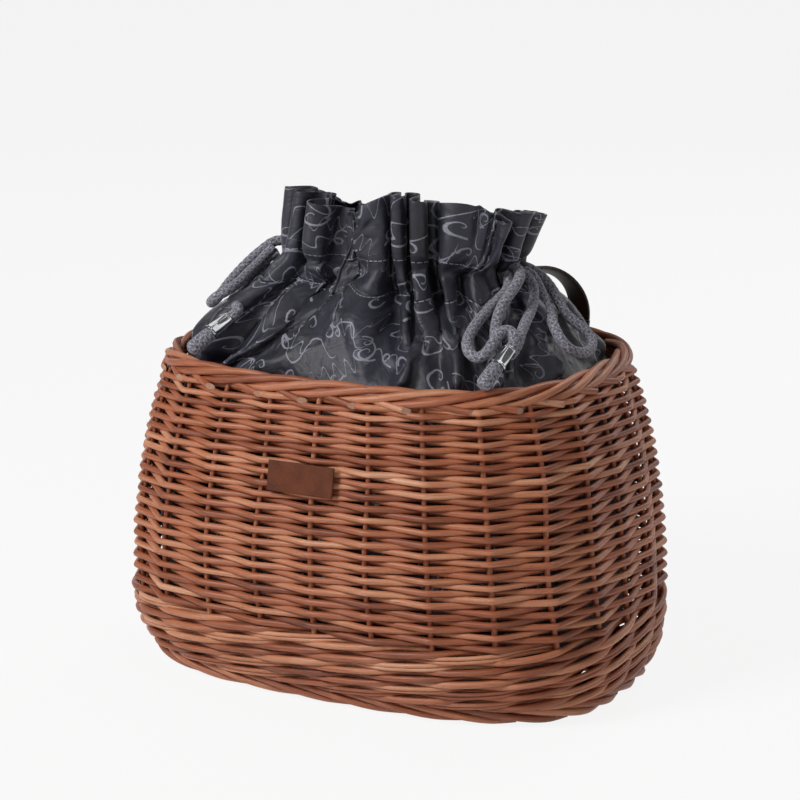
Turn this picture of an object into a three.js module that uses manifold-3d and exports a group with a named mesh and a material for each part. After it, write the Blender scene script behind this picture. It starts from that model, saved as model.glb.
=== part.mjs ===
// Wicker bicycle basket with a drawstring fabric liner, in millimetres, +Z up.
// The origin is the middle of the foot, on the surface that the basket stands on.
// +X runs along the basket, -Y is the front wall with the label, +Y the back wall with the handle.
import * as THREE from 'three'
import { mergeVertices } from 'three/addons/utils/BufferGeometryUtils.js'
import Module from 'manifold-3d'

const wasm = await Module()
wasm.setup()

// Driving sizes of the basket
const basketLength = 454
const basketWidth = 360
const basketHeight = 280
const planPower = 2.9
const wallThickness = 12
const footHeight = 14
const footThickness = 14
const bandTop = 72
const rimHeight = 17.7
const rimThickness = 15
const stakeCount = 26
const stakeDiameter = 5.6
const firstStakeArc = 37.5
const reliefDepthShare = 0.8
const weaveRowCount = 38
const walingCourseCount = 5
const walingCourseSteps = 3
const walingClimbCount = 9
const baseThickness = 10
const baseLift = 3
const baseStickCount = 4
const baseStickDiameter = 7

// Driving sizes of the liner
const linerEndRoom = 14.41
const linerSideRoom = 16.6
const linerHeight = 418
const linerWall = 2.5
const pleatDepth = 5
const pleatRise = 4

// Driving sizes of the drawstrings, their bells and their ends
const cordDiameter = 9
const cordStep = 12.8
const bellLength = 20
const bellNeckDiameter = 11.5
const bellMouthDiameter = 14.5
const bellBoreDiameter = 10
const cordEndDiameter = 13
const cordEndLength = 24
const cordEndRound = 3

// Driving sizes of the handle and its fastening
const handleFootPlaces = [7.81853, 3.53063]
const handleRise = 40
const handleCorner = 34
const strapWidth = 20
const strapThickness = 3
const strapTwistShare = 0.75
const tabDrop = 56
const rivetDrops = [24, 44]
const rivetShankDiameter = 4
const rivetHeadDiameter = 10
const rivetHeadHeight = 2.4
const rivetDomeShare = 0.8
const rivetEdgeShare = 0.7
const rivetSunkShare = 0.25
const washerDiameter = 12
const washerThickness = 1

// Driving sizes of the label
const labelWidth = 60
const labelHeight = 24.5
const labelThickness = 2
const labelMiddleHeight = 202
const labelMiddleAcross = 3

// Gaps and cutting lengths
const fitGap = 0.3
const cutOverrun = 2
const mergeDistance = 0.0001

// Sides of the round sections, and steps of the curves
const stakeSides = 6
const borderSides = 8
const stickSides = 8
const cordSides = 8
const bellSides = 20
const cordEndSides = 14
const rivetSides = 12
const rivetHoleSides = 8
const strapCornerSteps = 6
const strapFootLeans = [60, 30]

// Heights that several pieces share
const matTop = baseLift + baseThickness
const linerFloorShare = (matTop + fitGap) / linerHeight

// Outer face of the wall: share of the height, then of the half length and of the half width
const wallShares = [
  [0, 0.945, 0.755],
  [0.025, 0.956, 0.778],
  [0.15, 1, 0.9],
  [0.31, 0.991, 0.972],
  [0.5, 0.969, 1],
  [0.74, 0.925, 0.944],
  [0.975, 0.841, 0.878],
  [1, 0.83, 0.87],
]

// Liner from its floor to its neck: share of its height, of its half length and of its half width,
// then the plan's power
const pouchShares = [
  [linerFloorShare, 0.908, 0.843, 2.9],
  [0.062, 0.977, 0.929, 2.9],
  [0.144, 1, 0.979, 2.9],
  [0.61, 1, 1, 2.9],
  [0.682, 0.989, 0.986, 2.9],
  [0.73, 0.888, 0.86, 2.75],
  [0.77, 0.76, 0.71, 2.5],
  [0.806, 0.645, 0.565, 2.3],
]

// Channel and frill above the neck, in the same shares, then the share of the full pleat depth
const frillShares = [
  [0.806, 0.645, 0.565, 2.3, 0],
  [0.842, 0.609, 0.521, 2.2, 0],
  [0.883, 0.621, 0.543, 2.2, 0.3],
  [0.94, 0.655, 0.586, 2.2, 0.8],
  [0.985, 0.69, 0.625, 2.2, 1],
]

// Colours and finishes
const willow = finish(0x9c5f45, 0.62, 0)
const darkWillow = finish(0x84492f, 0.66, 0)
const linerFabric = finish(0x34333d, 0.8, 0)
const cordBraid = finish(0x73717c, 0.9, 0)
const chromeMetal = finish(0xd8dadd, 0.08, 1)
const strapLeather = finish(0x2a1d18, 0.55, 0)
const labelLeather = finish(0x6a3a25, 0.6, 0)
const rivetMetal = finish(0x8c8377, 0.35, 1)

const model = new THREE.Group()

function finish(colour, roughness, metalness) {
  return new THREE.MeshStandardMaterial({ color: colour, roughness, metalness })
}

function addPiece(name, geometry, material) {
  const mesh = new THREE.Mesh(geometry, material)
  mesh.name = name
  model.add(mesh)
  return mesh
}

// Value between the rows of a table of shares, on a smooth curve through them
function smoothShare(rows, column, share) {
  const last = rows.length - 1
  const held = THREE.MathUtils.clamp(share, rows[0][0], rows[last][0])
  const upper = Math.max(rows.findIndex((row) => row[0] >= held), 1)
  const slopeAt = (index) => {
    const before = rows[Math.max(index - 1, 0)]
    const after = rows[Math.min(index + 1, last)]
    return (after[column] - before[column]) / (after[0] - before[0])
  }
  const low = rows[upper - 1]
  const high = rows[upper]
  const span = high[0] - low[0]
  const t = (held - low[0]) / span
  const rise = high[column] - low[column]
  const startSlope = slopeAt(upper - 1) * span
  const endSlope = slopeAt(upper) * span
  const bend = startSlope + endSlope - 2 * rise
  return low[column] + t * (startSlope + t * (3 * rise - 2 * startSlope - endSlope + t * bend))
}

// Half length and half width of the wall's outer face at a height, drawn in by an inset
function wallHalves(height, inset = 0) {
  const share = height / basketHeight
  const halfLength = smoothShare(wallShares, 1, share) * basketLength / 2 - inset
  const halfWidth = smoothShare(wallShares, 2, share) * basketWidth / 2 - inset
  return { halfLength, halfWidth }
}

function planPoint(turn, halfLength, halfWidth, power = planPower) {
  const along = Math.cos(turn)
  const across = Math.sin(turn)
  const x = Math.sign(along) * halfLength * Math.abs(along) ** (2 / power)
  const y = Math.sign(across) * halfWidth * Math.abs(across) ** (2 / power)
  return new THREE.Vector2(x, y)
}

// Turns at even arc lengths round the belly: a stake stands at every second one
function evenTurns() {
  const fineCount = 3600
  const belly = wallHalves(basketHeight / 2)
  const bellyPoint = (index) => (
    planPoint(2 * Math.PI * index / fineCount, belly.halfLength, belly.halfWidth)
  )
  const arcs = [0]
  for (let index = 1; index <= fineCount; index += 1) {
    arcs.push(arcs[index - 1] + bellyPoint(index).distanceTo(bellyPoint(index - 1)))
  }
  const girth = arcs[fineCount]
  const turnCount = 2 * stakeCount
  const turns = []
  for (let index = 0; index < turnCount; index += 1) {
    const arc = (firstStakeArc + girth * index / turnCount) % girth
    turns.push(2 * Math.PI * arcs.findIndex((value) => value >= arc) / fineCount)
  }
  return turns
}

const turns = evenTurns()

function planRing(halfLength, halfWidth, height, power = planPower) {
  return turns.map((turn) => {
    const point = planPoint(turn, halfLength, halfWidth, power)
    return new THREE.Vector3(point.x, point.y, height)
  })
}

function wallRing(height, inset) {
  const halves = wallHalves(height, inset)
  return planRing(halves.halfLength, halves.halfWidth, height)
}

// Closed skin through rings of equal length: capped at both ends, or joined end to end
function loft(rings, joined = false) {
  const ringSize = rings[0].length
  const positions = rings.flat().flatMap((point) => [point.x, point.y, point.z])
  const indices = []
  const bandCount = joined ? rings.length : rings.length - 1
  for (let band = 0; band < bandCount; band += 1) {
    const lower = band * ringSize
    const upper = ((band + 1) % rings.length) * ringSize
    for (let side = 0; side < ringSize; side += 1) {
      const next = (side + 1) % ringSize
      indices.push(lower + side, lower + next, upper + next)
      indices.push(lower + side, upper + next, upper + side)
    }
  }
  if (!joined) {
    const top = (rings.length - 1) * ringSize
    for (let side = 1; side < ringSize - 1; side += 1) {
      indices.push(0, side + 1, side)
      indices.push(top, top + side, top + side + 1)
    }
  }
  const geometry = new THREE.BufferGeometry()
  geometry.setAttribute('position', new THREE.Float32BufferAttribute(positions, 3))
  geometry.setIndex(signedVolume(positions, indices) < 0 ? indices.reverse() : indices)
  geometry.computeVertexNormals()
  return geometry
}

function signedVolume(positions, indices) {
  const corner = (index) => new THREE.Vector3().fromArray(positions, 3 * index)
  let volume = 0
  for (let index = 0; index < indices.length; index += 3) {
    const first = corner(indices[index])
    const second = corner(indices[index + 1])
    const third = corner(indices[index + 2])
    volume += first.dot(second.cross(third)) / 6
  }
  return volume
}

// Booleans on closed meshes
function toSolid(geometry) {
  const bare = geometry.clone()
  bare.deleteAttribute('normal')
  bare.deleteAttribute('uv')
  const merged = mergeVertices(bare, mergeDistance)
  const vertProperties = new Float32Array(merged.attributes.position.array)
  const triVerts = new Uint32Array(merged.index.array)
  return new wasm.Manifold(new wasm.Mesh({ numProp: 3, vertProperties, triVerts }))
}

function cut(geometry, cutters) {
  let solid = toSolid(geometry)
  for (const cutter of cutters) {
    solid = solid.subtract(toSolid(cutter))
  }
  const mesh = solid.getMesh()
  const result = new THREE.BufferGeometry()
  result.setAttribute('position', new THREE.BufferAttribute(mesh.vertProperties, 3))
  result.setIndex(new THREE.BufferAttribute(mesh.triVerts, 1))
  result.computeVertexNormals()
  return result
}

// Woven wall: the shell between two heights, with a channel round each stake
const bandBottom = footHeight + fitGap
const sideTop = basketHeight - rimHeight - fitGap
const bandLevels = [bandBottom, (bandBottom + bandTop) / 2, bandTop]
const sideBottom = bandTop + fitGap
const sideLevelShares = [0, 0.3, 0.6, 0.84, 1]
const sideLevels = sideLevelShares.map((share) => sideBottom + share * (sideTop - sideBottom))

function wallShell(levels, outerRings) {
  const innerRings = levels.map((height) => wallRing(height, wallThickness))
  return loft([...outerRings, ...innerRings.reverse()], true)
}

// Radius of a stake's channel, measured to the corners of its hexagon
const channelRadius = stakeDiameter / 2 + fitGap / Math.cos(Math.PI / stakeSides)
// The dips between the rods stop short of the channels
const reliefDepth = reliefDepthShare * (wallThickness / 2 - channelRadius)

// Outer face in even steps of height, with each point drawn in by its share of the relief's depth
function reliefRings(levels, stepCount, dipShareAt) {
  return Array.from({ length: stepCount + 1 }, (_, step) => {
    const height = THREE.MathUtils.lerp(levels[0], levels[levels.length - 1], step / stepCount)
    const below = levels.filter((level) => level < height).length
    const upper = THREE.MathUtils.clamp(below, 1, levels.length - 1)
    const [low, high] = [levels[upper - 1], levels[upper]]
    const share = (height - low) / (high - low)
    const [face, floor] = [0, reliefDepth].map((inset) => {
      const highRing = wallRing(high, inset)
      return wallRing(low, inset).map((point, index) => point.lerp(highRing[index], share))
    })
    return face.map((point, index) => point.lerp(floor[index], dipShareAt(step, index)))
  })
}

// Side weave: each row stands out at every second stake, and lies half as deep between the stakes
function weaveDipShare(row, index) {
  const outOfStep = (index / 2 + row) % 2
  return index % 2 === 0 ? outOfStep : 1 / 2
}

// Waling: courses of slanted rods, which climb a few courses on their way round
function walingDipShare(step, index) {
  const climb = walingClimbCount * index / turns.length
  return (1 - Math.cos(2 * Math.PI * (step / walingCourseSteps - climb))) / 2
}

// Stake: hexagons stacked at the wall's own levels, in the middle of the wall
function stakeTube(stake, levels, radius) {
  const turn = turns[2 * stake]
  const rings = levels.map((height) => {
    const halves = wallHalves(height, wallThickness / 2)
    const middle = planPoint(turn, halves.halfLength, halves.halfWidth)
    return roundSection(stakeSides, 0).map((corner) => new THREE.Vector3(
      middle.x + radius * corner.x,
      middle.y + radius * corner.y,
      height,
    ))
  })
  return loft(rings)
}

function roundSection(sides, phase) {
  return Array.from({ length: sides }, (_, side) => {
    const angle = 2 * Math.PI * (side + phase) / sides
    return new THREE.Vector2(Math.cos(angle), Math.sin(angle))
  })
}

function stakeChannels(levels) {
  const low = levels[0] - cutOverrun
  const high = levels[levels.length - 1] + cutOverrun
  const longLevels = [low, ...levels, high]
  return Array.from({ length: stakeCount }, (_, stake) => stakeTube(stake, longLevels, channelRadius))
}

function buildWovenWall() {
  const bandRings = reliefRings(bandLevels, walingCourseCount * walingCourseSteps, walingDipShare)
  const band = cut(wallShell(bandLevels, bandRings), stakeChannels(bandLevels))
  addPiece('waling_band', band, willow)
  const sideRings = reliefRings(sideLevels, weaveRowCount, weaveDipShare)
  const sideCutters = [...stakeChannels(sideLevels), ...rivetHoles()]
  addPiece('side_weave', cut(wallShell(sideLevels, sideRings), sideCutters), willow)
  const stakeLevels = [...bandLevels, ...sideLevels]
  for (let stake = 0; stake < stakeCount; stake += 1) {
    const name = `stake_${String(stake + 1).padStart(2, '0')}`
    addPiece(name, stakeTube(stake, stakeLevels, stakeDiameter / 2), darkWillow)
  }
}

// Rolled border of rods: a round section carried round the plan, flat above and below
function borderRing(lowHeight, height, thickness) {
  const middleHeight = lowHeight + height / 2
  const halves = wallHalves(middleHeight, thickness / 2)
  const flatScale = 1 / Math.cos(Math.PI / borderSides)
  const rings = roundSection(borderSides, 0.5).map((corner) => planRing(
    halves.halfLength + corner.x * flatScale * thickness / 2,
    halves.halfWidth + corner.x * flatScale * thickness / 2,
    middleHeight + corner.y * flatScale * height / 2,
  ))
  return loft(rings, true)
}

function buildBorders() {
  addPiece('foot_border', borderRing(0, footHeight, footThickness), willow)
  addPiece('rim_border', borderRing(basketHeight - rimHeight, rimHeight, rimThickness), willow)
}

// Base: a woven mat inside the foot border, on sticks that run its length
const matHalves = wallHalves(footHeight / 2, footThickness + fitGap)
const stickMiddleHeight = baseLift + baseThickness / 2

function stickRod(across, radius, overrun) {
  const widthShare = Math.abs(across) / matHalves.halfWidth
  const matReach = matHalves.halfLength * (1 - widthShare ** planPower) ** (1 / planPower)
  const halfRun = matReach - baseStickDiameter
  const rings = [-halfRun - overrun, halfRun + overrun].map((along) => (
    roundSection(stickSides, 0.5).map((corner) => new THREE.Vector3(
      along,
      across + radius * corner.x,
      stickMiddleHeight + radius * corner.y,
    ))
  ))
  return loft(rings)
}

function buildBase() {
  const matRings = [baseLift, matTop].map((height) => (
    planRing(matHalves.halfLength, matHalves.halfWidth, height)
  ))
  const stickPitch = 2 * matHalves.halfWidth / (baseStickCount + 1)
  const stickRows = Array.from({ length: baseStickCount }, (_, row) => (
    stickPitch * (row + 1) - matHalves.halfWidth
  ))
  const slotRadius = baseStickDiameter / 2 + fitGap
  const slots = stickRows.map((across) => stickRod(across, slotRadius, matHalves.halfLength))
  addPiece('base_mat', cut(loft(matRings), slots), willow)
  stickRows.forEach((across, row) => {
    addPiece(`base_stick_${row + 1}`, stickRod(across, baseStickDiameter / 2, 0), darkWillow)
  })
}

// Liner: an open pouch, and the drawstring channel with its pleated frill
const rimHalves = wallHalves(basketHeight)
const linerLength = 2 * (rimHalves.halfLength - linerEndRoom)
const linerWidth = 2 * (rimHalves.halfWidth - linerSideRoom)

function linerRing([heightShare, lengthShare, widthShare, power, pleat = 0], inset, lift) {
  const halfLength = lengthShare * linerLength / 2 - inset
  const halfWidth = widthShare * linerWidth / 2 - inset
  const height = heightShare * linerHeight + lift
  return planRing(halfLength, halfWidth, height, power).map((point, index) => {
    const wave = Math.cos(Math.PI * index / 2)
    const spread = 1 + pleat * pleatDepth * wave / halfLength
    return new THREE.Vector3(point.x * spread, point.y * spread, point.z + pleat * pleatRise * wave)
  })
}

function buildLiner() {
  const pouchOuter = pouchShares.map((row) => linerRing(row, 0, -fitGap * row[0]))
  const floorRows = pouchShares.slice(0, 1).map((row) => linerRing(row, linerWall, linerWall))
  const pouchInner = pouchShares.slice(1).map((row) => linerRing(row, linerWall, -fitGap * row[0]))
  addPiece('liner_pouch', loft([...pouchOuter, ...pouchInner.reverse(), ...floorRows]), linerFabric)
  const frillOuter = frillShares.map((row) => linerRing(row, 0, fitGap))
  const frillInner = frillShares.map((row) => linerRing(row, linerWall, fitGap))
  addPiece('liner_frill', loft([...frillOuter, ...frillInner.reverse()], true), linerFabric)
}

// Drawstring routes, chosen by hand round a liner of this length and width, and stretched with the liner
const routeLinerLength = 348
const routeLinerWidth = 280
const rightBellTop = [149.5, -95, 308]
const rightBellMouth = [146.5, -111.5, 297]
const leftBellTop = [-100, -110, 311.5]
const leftBellMouth = [-109.5, -123.5, 300.5]

const rightTailRoute = [
  [109.5, -18, 351], [113, -22, 349], [116, -29, 342.5], [114.5, -40.5, 336], [113.5, -58, 330],
  [112.5, -75.5, 323.5], [113, -90.5, 316.5], [115.5, -102, 310], [121.5, -108.5, 304.5], [129, -109.5, 302],
  [135, -105.5, 306.5], [137, -98, 313], [138.5, -89.5, 318.5], [142.5, -83.5, 320.5], [147.5, -84.5, 317.5],
  [150.5, -89.5, 311.7],
]
const rightLoopRoute = [
  [108.5, -7, 355], [115, -10, 355.5], [122.5, -20, 353], [126.5, -34, 348], [125.5, -46, 341],
  [124, -59, 331], [126, -71.5, 320], [131.5, -83, 311.5], [139, -90.5, 304], [145.5, -87, 301],
  [146.5, -76, 306], [143.5, -61, 314], [140, -45, 320], [136, -27, 325.5], [131.5, -12, 332],
  [126, -2.5, 341], [118, 1, 348], [111, 2, 349.5],
]
const rightBowRoute = [
  [111, 12, 349.5], [118, 12, 346.5], [127, 9, 337], [135.5, 0, 329], [145.5, -11, 320.5],
  [155, -22, 312.5], [164, -28, 304], [170.5, -23.5, 296], [175, -9, 291], [174.5, 8, 292],
  [170.5, 17, 297.5],
  [164.5, 16.5, 304.5], [157, 12.5, 311], [150, 11, 317.5], [142.5, 14, 325.5], [133.5, 20, 334.5],
  [124, 23.5, 342], [115, 23, 348], [107.5, 22, 351],
]
const leftLoopRoute = [
  [-109, -6, 360], [-116, -10, 358.5], [-124, -20, 351], [-132.5, -33, 339.5], [-138.5, -47, 327.5],
  [-139.5, -61, 319], [-137.5, -76, 315.5], [-131, -88, 318.5], [-122.5, -93, 324.5], [-115, -87, 330],
  [-112.5, -74, 334.5], [-113, -58, 339.5], [-112.5, -43, 345], [-111, -32, 351], [-107, -26, 357],
]
const leftTailRoute = [
  [-113, -8, 349], [-118.5, -14, 345.5], [-121, -27, 339], [-120, -43, 334], [-119, -59, 328],
  [-117.5, -72, 322.5], [-114, -83, 318.5], [-107.5, -92, 317.5], [-100, -98, 319], [-95.5, -103.5, 317.3],
]

const cordCorners = roundSection(cordSides, 0.5).map((corner) => corner.multiplyScalar(cordDiameter / 2))
const cordSection = new THREE.Shape(cordCorners)

function besideLiner([along, across, height]) {
  return new THREE.Vector3(
    along * linerLength / routeLinerLength,
    across * linerWidth / routeLinerWidth,
    height,
  )
}

function cordTube(points) {
  const path = new THREE.CatmullRomCurve3(points)
  const steps = Math.round(path.getLength() / cordStep)
  return new THREE.ExtrudeGeometry(cordSection, { steps, extrudePath: path, bevelEnabled: false })
}

// Bell: a tapered barrel with a bore, its neck at the local origin and its mouth along local +Y
function bellGeometry() {
  const bore = bellBoreDiameter / 2
  const profile = [
    new THREE.Vector2(bore, 0),
    new THREE.Vector2(bellNeckDiameter / 2, 0),
    new THREE.Vector2(bellMouthDiameter / 2, bellLength),
    new THREE.Vector2(bore, bellLength),
    new THREE.Vector2(bore, 0),
  ]
  return new THREE.LatheGeometry(profile, bellSides)
}

// Cord end: the doubled cord, round at its tip, under the bell's mouth
function cordEndGeometry() {
  const radius = cordEndDiameter / 2
  const profile = [
    new THREE.Vector2(0, 0),
    new THREE.Vector2(radius, 0),
    new THREE.Vector2(radius, cordEndLength - cordEndRound),
    new THREE.Vector2(radius - cordEndRound, cordEndLength),
    new THREE.Vector2(0, cordEndLength),
  ]
  return new THREE.LatheGeometry(profile, cordEndSides)
}

function placeAlong(piece, start, direction, shift) {
  piece.quaternion.setFromUnitVectors(new THREE.Vector3(0, 1, 0), direction)
  piece.position.copy(start).addScaledVector(direction, shift)
}

function buildTail(side, top, mouth, route) {
  const start = besideLiner(top)
  const direction = besideLiner(mouth).sub(start).normalize()
  const throughBell = start.clone().addScaledVector(direction, bellLength)
  const points = [...route.map(besideLiner), start, throughBell]
  addPiece(`cord_tail_${side}`, cordTube(points), cordBraid)
  placeAlong(addPiece(`bell_${side}`, bellGeometry(), chromeMetal), start, direction, 0)
  const cordEnd = addPiece(`cord_end_${side}`, cordEndGeometry(), cordBraid)
  placeAlong(cordEnd, throughBell, direction, fitGap)
}

function buildDrawstrings() {
  buildTail('right', rightBellTop, rightBellMouth, rightTailRoute)
  addPiece('cord_loop_right', cordTube(rightLoopRoute.map(besideLiner)), cordBraid)
  addPiece('cord_bow_right', cordTube(rightBowRoute.map(besideLiner)), cordBraid)
  buildTail('left', leftBellTop, leftBellMouth, leftTailRoute)
  addPiece('cord_loop_left', cordTube(leftLoopRoute.map(besideLiner)), cordBraid)
}

// Where along the back wall a place between two stakes is, with the first stake counted as zero
function backWallAcross(place) {
  const stake = Math.floor(place)
  const halves = wallHalves(sideTop, wallThickness / 2)
  const ends = [stake, stake + 1].map((index) => (
    planPoint(turns[2 * index], halves.halfLength, halves.halfWidth).x
  ))
  return THREE.MathUtils.lerp(ends[0], ends[1], place - stake)
}

// Handle: a strap in an arch, square to the wall at its feet and lying flat on top
const footAcross = handleFootPlaces.map(backWallAcross)
const handleSpan = footAcross[1] - footAcross[0]
const handleMiddleAcross = (footAcross[0] + footAcross[1]) / 2
const handleAxisHeight = basketHeight + strapThickness / 2 + 2 * fitGap
const tabTop = handleAxisHeight - strapThickness / 2 - fitGap

function wallDepth(across, height, inset = 0) {
  const halves = wallHalves(height, inset)
  return halves.halfWidth * (1 - (Math.abs(across) / halves.halfLength) ** planPower) ** (1 / planPower)
}

const tabInnerEdge = handleSpan / 2 - handleMiddleAcross - strapWidth / 2
const rimDepth = wallDepth(tabInnerEdge, basketHeight - rimHeight / 2)
const handlePlane = rimDepth + fitGap + strapThickness / 2

function strapRing(middle, tangent, twist, thickness) {
  const inPlane = new THREE.Vector3(tangent.z, 0, -tangent.x)
  const across = inPlane.multiplyScalar(Math.cos(twist)).add(new THREE.Vector3(0, -Math.sin(twist), 0))
  const through = new THREE.Vector3().crossVectors(tangent, across)
  const corners = [[-1, -1], [1, -1], [1, 1], [-1, 1]]
  return corners.map(([wide, thick]) => middle.clone()
    .addScaledVector(across, wide * strapWidth / 2)
    .addScaledVector(through, thick * thickness / 2))
}

// One half of the arch, from its round foot on the hinge axis to the middle of its top
function handleHalf() {
  const outward = handleSpan / 2
  const cornerStart = handleRise - handleCorner
  const topHalf = outward - handleCorner
  const upright = { x: -outward, lean: 0, twist: 0, thickness: strapThickness }
  const rings = strapFootLeans.map((degrees) => {
    const angle = THREE.MathUtils.degToRad(degrees)
    const z = -Math.sin(angle) * strapThickness / 2
    return { ...upright, z, thickness: Math.cos(angle) * strapThickness }
  })
  rings.push({ ...upright, z: 0 }, { ...upright, z: cornerStart })
  for (let step = 1; step <= strapCornerSteps; step += 1) {
    const lean = Math.PI / 2 * step / strapCornerSteps
    const x = -outward + handleCorner * (1 - Math.cos(lean))
    const z = cornerStart + handleCorner * Math.sin(lean)
    rings.push({ x, z, lean, twist: lean * strapTwistShare, thickness: strapThickness })
  }
  const flat = Math.PI / 2
  rings.push({ x: -topHalf / 2, z: handleRise, lean: flat, twist: flat, thickness: strapThickness })
  return rings
}

function buildHandle() {
  const half = handleHalf()
  const mirrored = half.slice().reverse().map((ring) => (
    { ...ring, x: -ring.x, lean: Math.PI - ring.lean, twist: Math.PI - ring.twist }
  ))
  const rings = [...half, ...mirrored].map(({ x, z, lean, twist, thickness }) => {
    const middle = new THREE.Vector3(x + handleMiddleAcross, handlePlane, handleAxisHeight + z)
    const tangent = new THREE.Vector3(Math.sin(lean), 0, Math.cos(lean))
    return strapRing(middle, tangent, twist, thickness)
  })
  addPiece('handle_strap', loft(rings), strapLeather)
  for (const side of [-1, 1]) {
    const name = side < 0 ? 'left' : 'right'
    addPiece(`handle_tab_${name}`, cut(tabPlate(side), rivetHoles()), strapLeather)
    buildRivets(side, name)
  }
}

// Tab: hangs from the rim down the outside of the back wall and follows the wall
function tabPlate(side) {
  const bottom = tabTop - tabDrop
  const levels = [bottom, (bottom + sideTop) / 2, sideTop, tabTop]
  const rings = levels.map((height, level) => {
    const square = level === levels.length - 1
    const middle = handleMiddleAcross + side * handleSpan / 2
    const edges = [-1, 1].map((edge) => middle + edge * strapWidth / 2)
    const backs = edges.map((across) => (square ? rimDepth : wallDepth(across, height)) + 2 * fitGap)
    const fronts = backs.map((depth) => depth + strapThickness)
    return [
      new THREE.Vector3(edges[0], backs[0], height),
      new THREE.Vector3(edges[1], backs[1], height),
      new THREE.Vector3(edges[1], fronts[1], height),
      new THREE.Vector3(edges[0], fronts[0], height),
    ]
  })
  return loft(rings)
}

// A rivet's place on the wall's outer face and its direction, out of the wall
function rivetSeat(side, drop) {
  const across = handleMiddleAcross + side * handleSpan / 2
  const height = tabTop - drop
  const reach = strapWidth / 4
  const sideChange = wallDepth(across + reach, height) - wallDepth(across - reach, height)
  const upChange = wallDepth(across, height + reach) - wallDepth(across, height - reach)
  const sideways = new THREE.Vector3(2 * reach, sideChange, 0)
  const upwards = new THREE.Vector3(0, upChange, 2 * reach)
  const outward = upwards.cross(sideways).normalize()
  return { seat: new THREE.Vector3(across, wallDepth(across, height), height), outward }
}

function rivetHoles() {
  const holes = []
  const radius = rivetShankDiameter / 2 + fitGap
  const length = 2 * (wallThickness + strapThickness)
  for (const side of [-1, 1]) {
    for (const drop of rivetDrops) {
      const { seat, outward } = rivetSeat(side, drop)
      const hole = new THREE.CylinderGeometry(radius, radius, length, rivetHoleSides)
      hole.applyQuaternion(new THREE.Quaternion().setFromUnitVectors(new THREE.Vector3(0, 1, 0), outward))
      holes.push(hole.translate(seat.x, seat.y, seat.z))
    }
  }
  return holes
}

// How far a flat disc's edge stands off the wall's curved inner face
function wallBow(across, height, radius) {
  const ends = (wallDepth(across - radius, height) + wallDepth(across + radius, height)) / 2
  return Math.max(0, wallDepth(across, height) - ends)
}

// The rivet's and the washer's profiles, from the wall's outer face inwards and outwards
function rivetProfiles(bow) {
  const headBase = strapThickness + 3 * fitGap + rivetHeadHeight * rivetSunkShare
  const washerFace = -wallThickness - fitGap - bow - washerThickness / 2
  const shankEnd = washerFace - washerThickness - fitGap
  const shankRadius = rivetShankDiameter / 2
  const headRadius = rivetHeadDiameter / 2
  const washerHole = shankRadius + fitGap
  const rivet = [
    new THREE.Vector2(0, shankEnd),
    new THREE.Vector2(shankRadius, shankEnd),
    new THREE.Vector2(shankRadius, headBase),
    new THREE.Vector2(headRadius, headBase),
    new THREE.Vector2(headRadius * rivetDomeShare, headBase + rivetHeadHeight * rivetEdgeShare),
    new THREE.Vector2(0, headBase + rivetHeadHeight),
  ]
  const washer = [
    new THREE.Vector2(washerHole, washerFace - washerThickness),
    new THREE.Vector2(washerDiameter / 2, washerFace - washerThickness),
    new THREE.Vector2(washerDiameter / 2, washerFace),
    new THREE.Vector2(washerHole, washerFace),
    new THREE.Vector2(washerHole, washerFace - washerThickness),
  ]
  return { rivet, washer }
}

function buildRivets(side, name) {
  rivetDrops.forEach((drop, index) => {
    const { seat, outward } = rivetSeat(side, drop)
    const profiles = rivetProfiles(wallBow(seat.x, seat.z, washerDiameter / 2))
    const rivetGeometry = new THREE.LatheGeometry(profiles.rivet, rivetSides)
    const rivet = addPiece(`rivet_${name}_${index + 1}`, rivetGeometry, rivetMetal)
    placeAlong(rivet, seat, outward, 0)
    const washerGeometry = new THREE.LatheGeometry(profiles.washer, rivetSides)
    const washer = addPiece(`washer_${name}_${index + 1}`, washerGeometry, rivetMetal)
    placeAlong(washer, seat, outward, 0)
  })
}

// Label: a flat leather plate against the front wall, turned to lie along it
function buildLabel() {
  const reach = labelWidth / 2
  const middle = labelMiddleAcross
  const low = labelMiddleHeight - labelHeight / 2
  const high = labelMiddleHeight + labelHeight / 2
  const left = middle - reach
  const right = middle + reach
  const back = [[left, low], [right, low], [right, high], [left, high]].map(([across, height]) => (
    new THREE.Vector3(across, -wallDepth(across, height) - fitGap, height)
  ))
  const bulge = labelBulge(middle, reach, low, high)
  const rings = [bulge, bulge + labelThickness].map((offset) => (
    back.map((point) => new THREE.Vector3(point.x, point.y - offset, point.z))
  ))
  addPiece('label', loft(rings), labelLeather)
}

// How far the wall stands out past the plane through the label's corners
function labelBulge(middle, reach, low, high) {
  const height = (low + high) / 2
  const ends = (wallDepth(middle - reach, height) + wallDepth(middle + reach, height)) / 2
  return Math.max(0, wallDepth(middle, height) - ends) + fitGap
}

buildBase()
buildBorders()
buildWovenWall()
buildLiner()
buildDrawstrings()
buildHandle()
buildLabel()

export default model
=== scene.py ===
import math
import random

import bpy
import numpy as np
from mathutils import Matrix, Vector, noise


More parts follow.
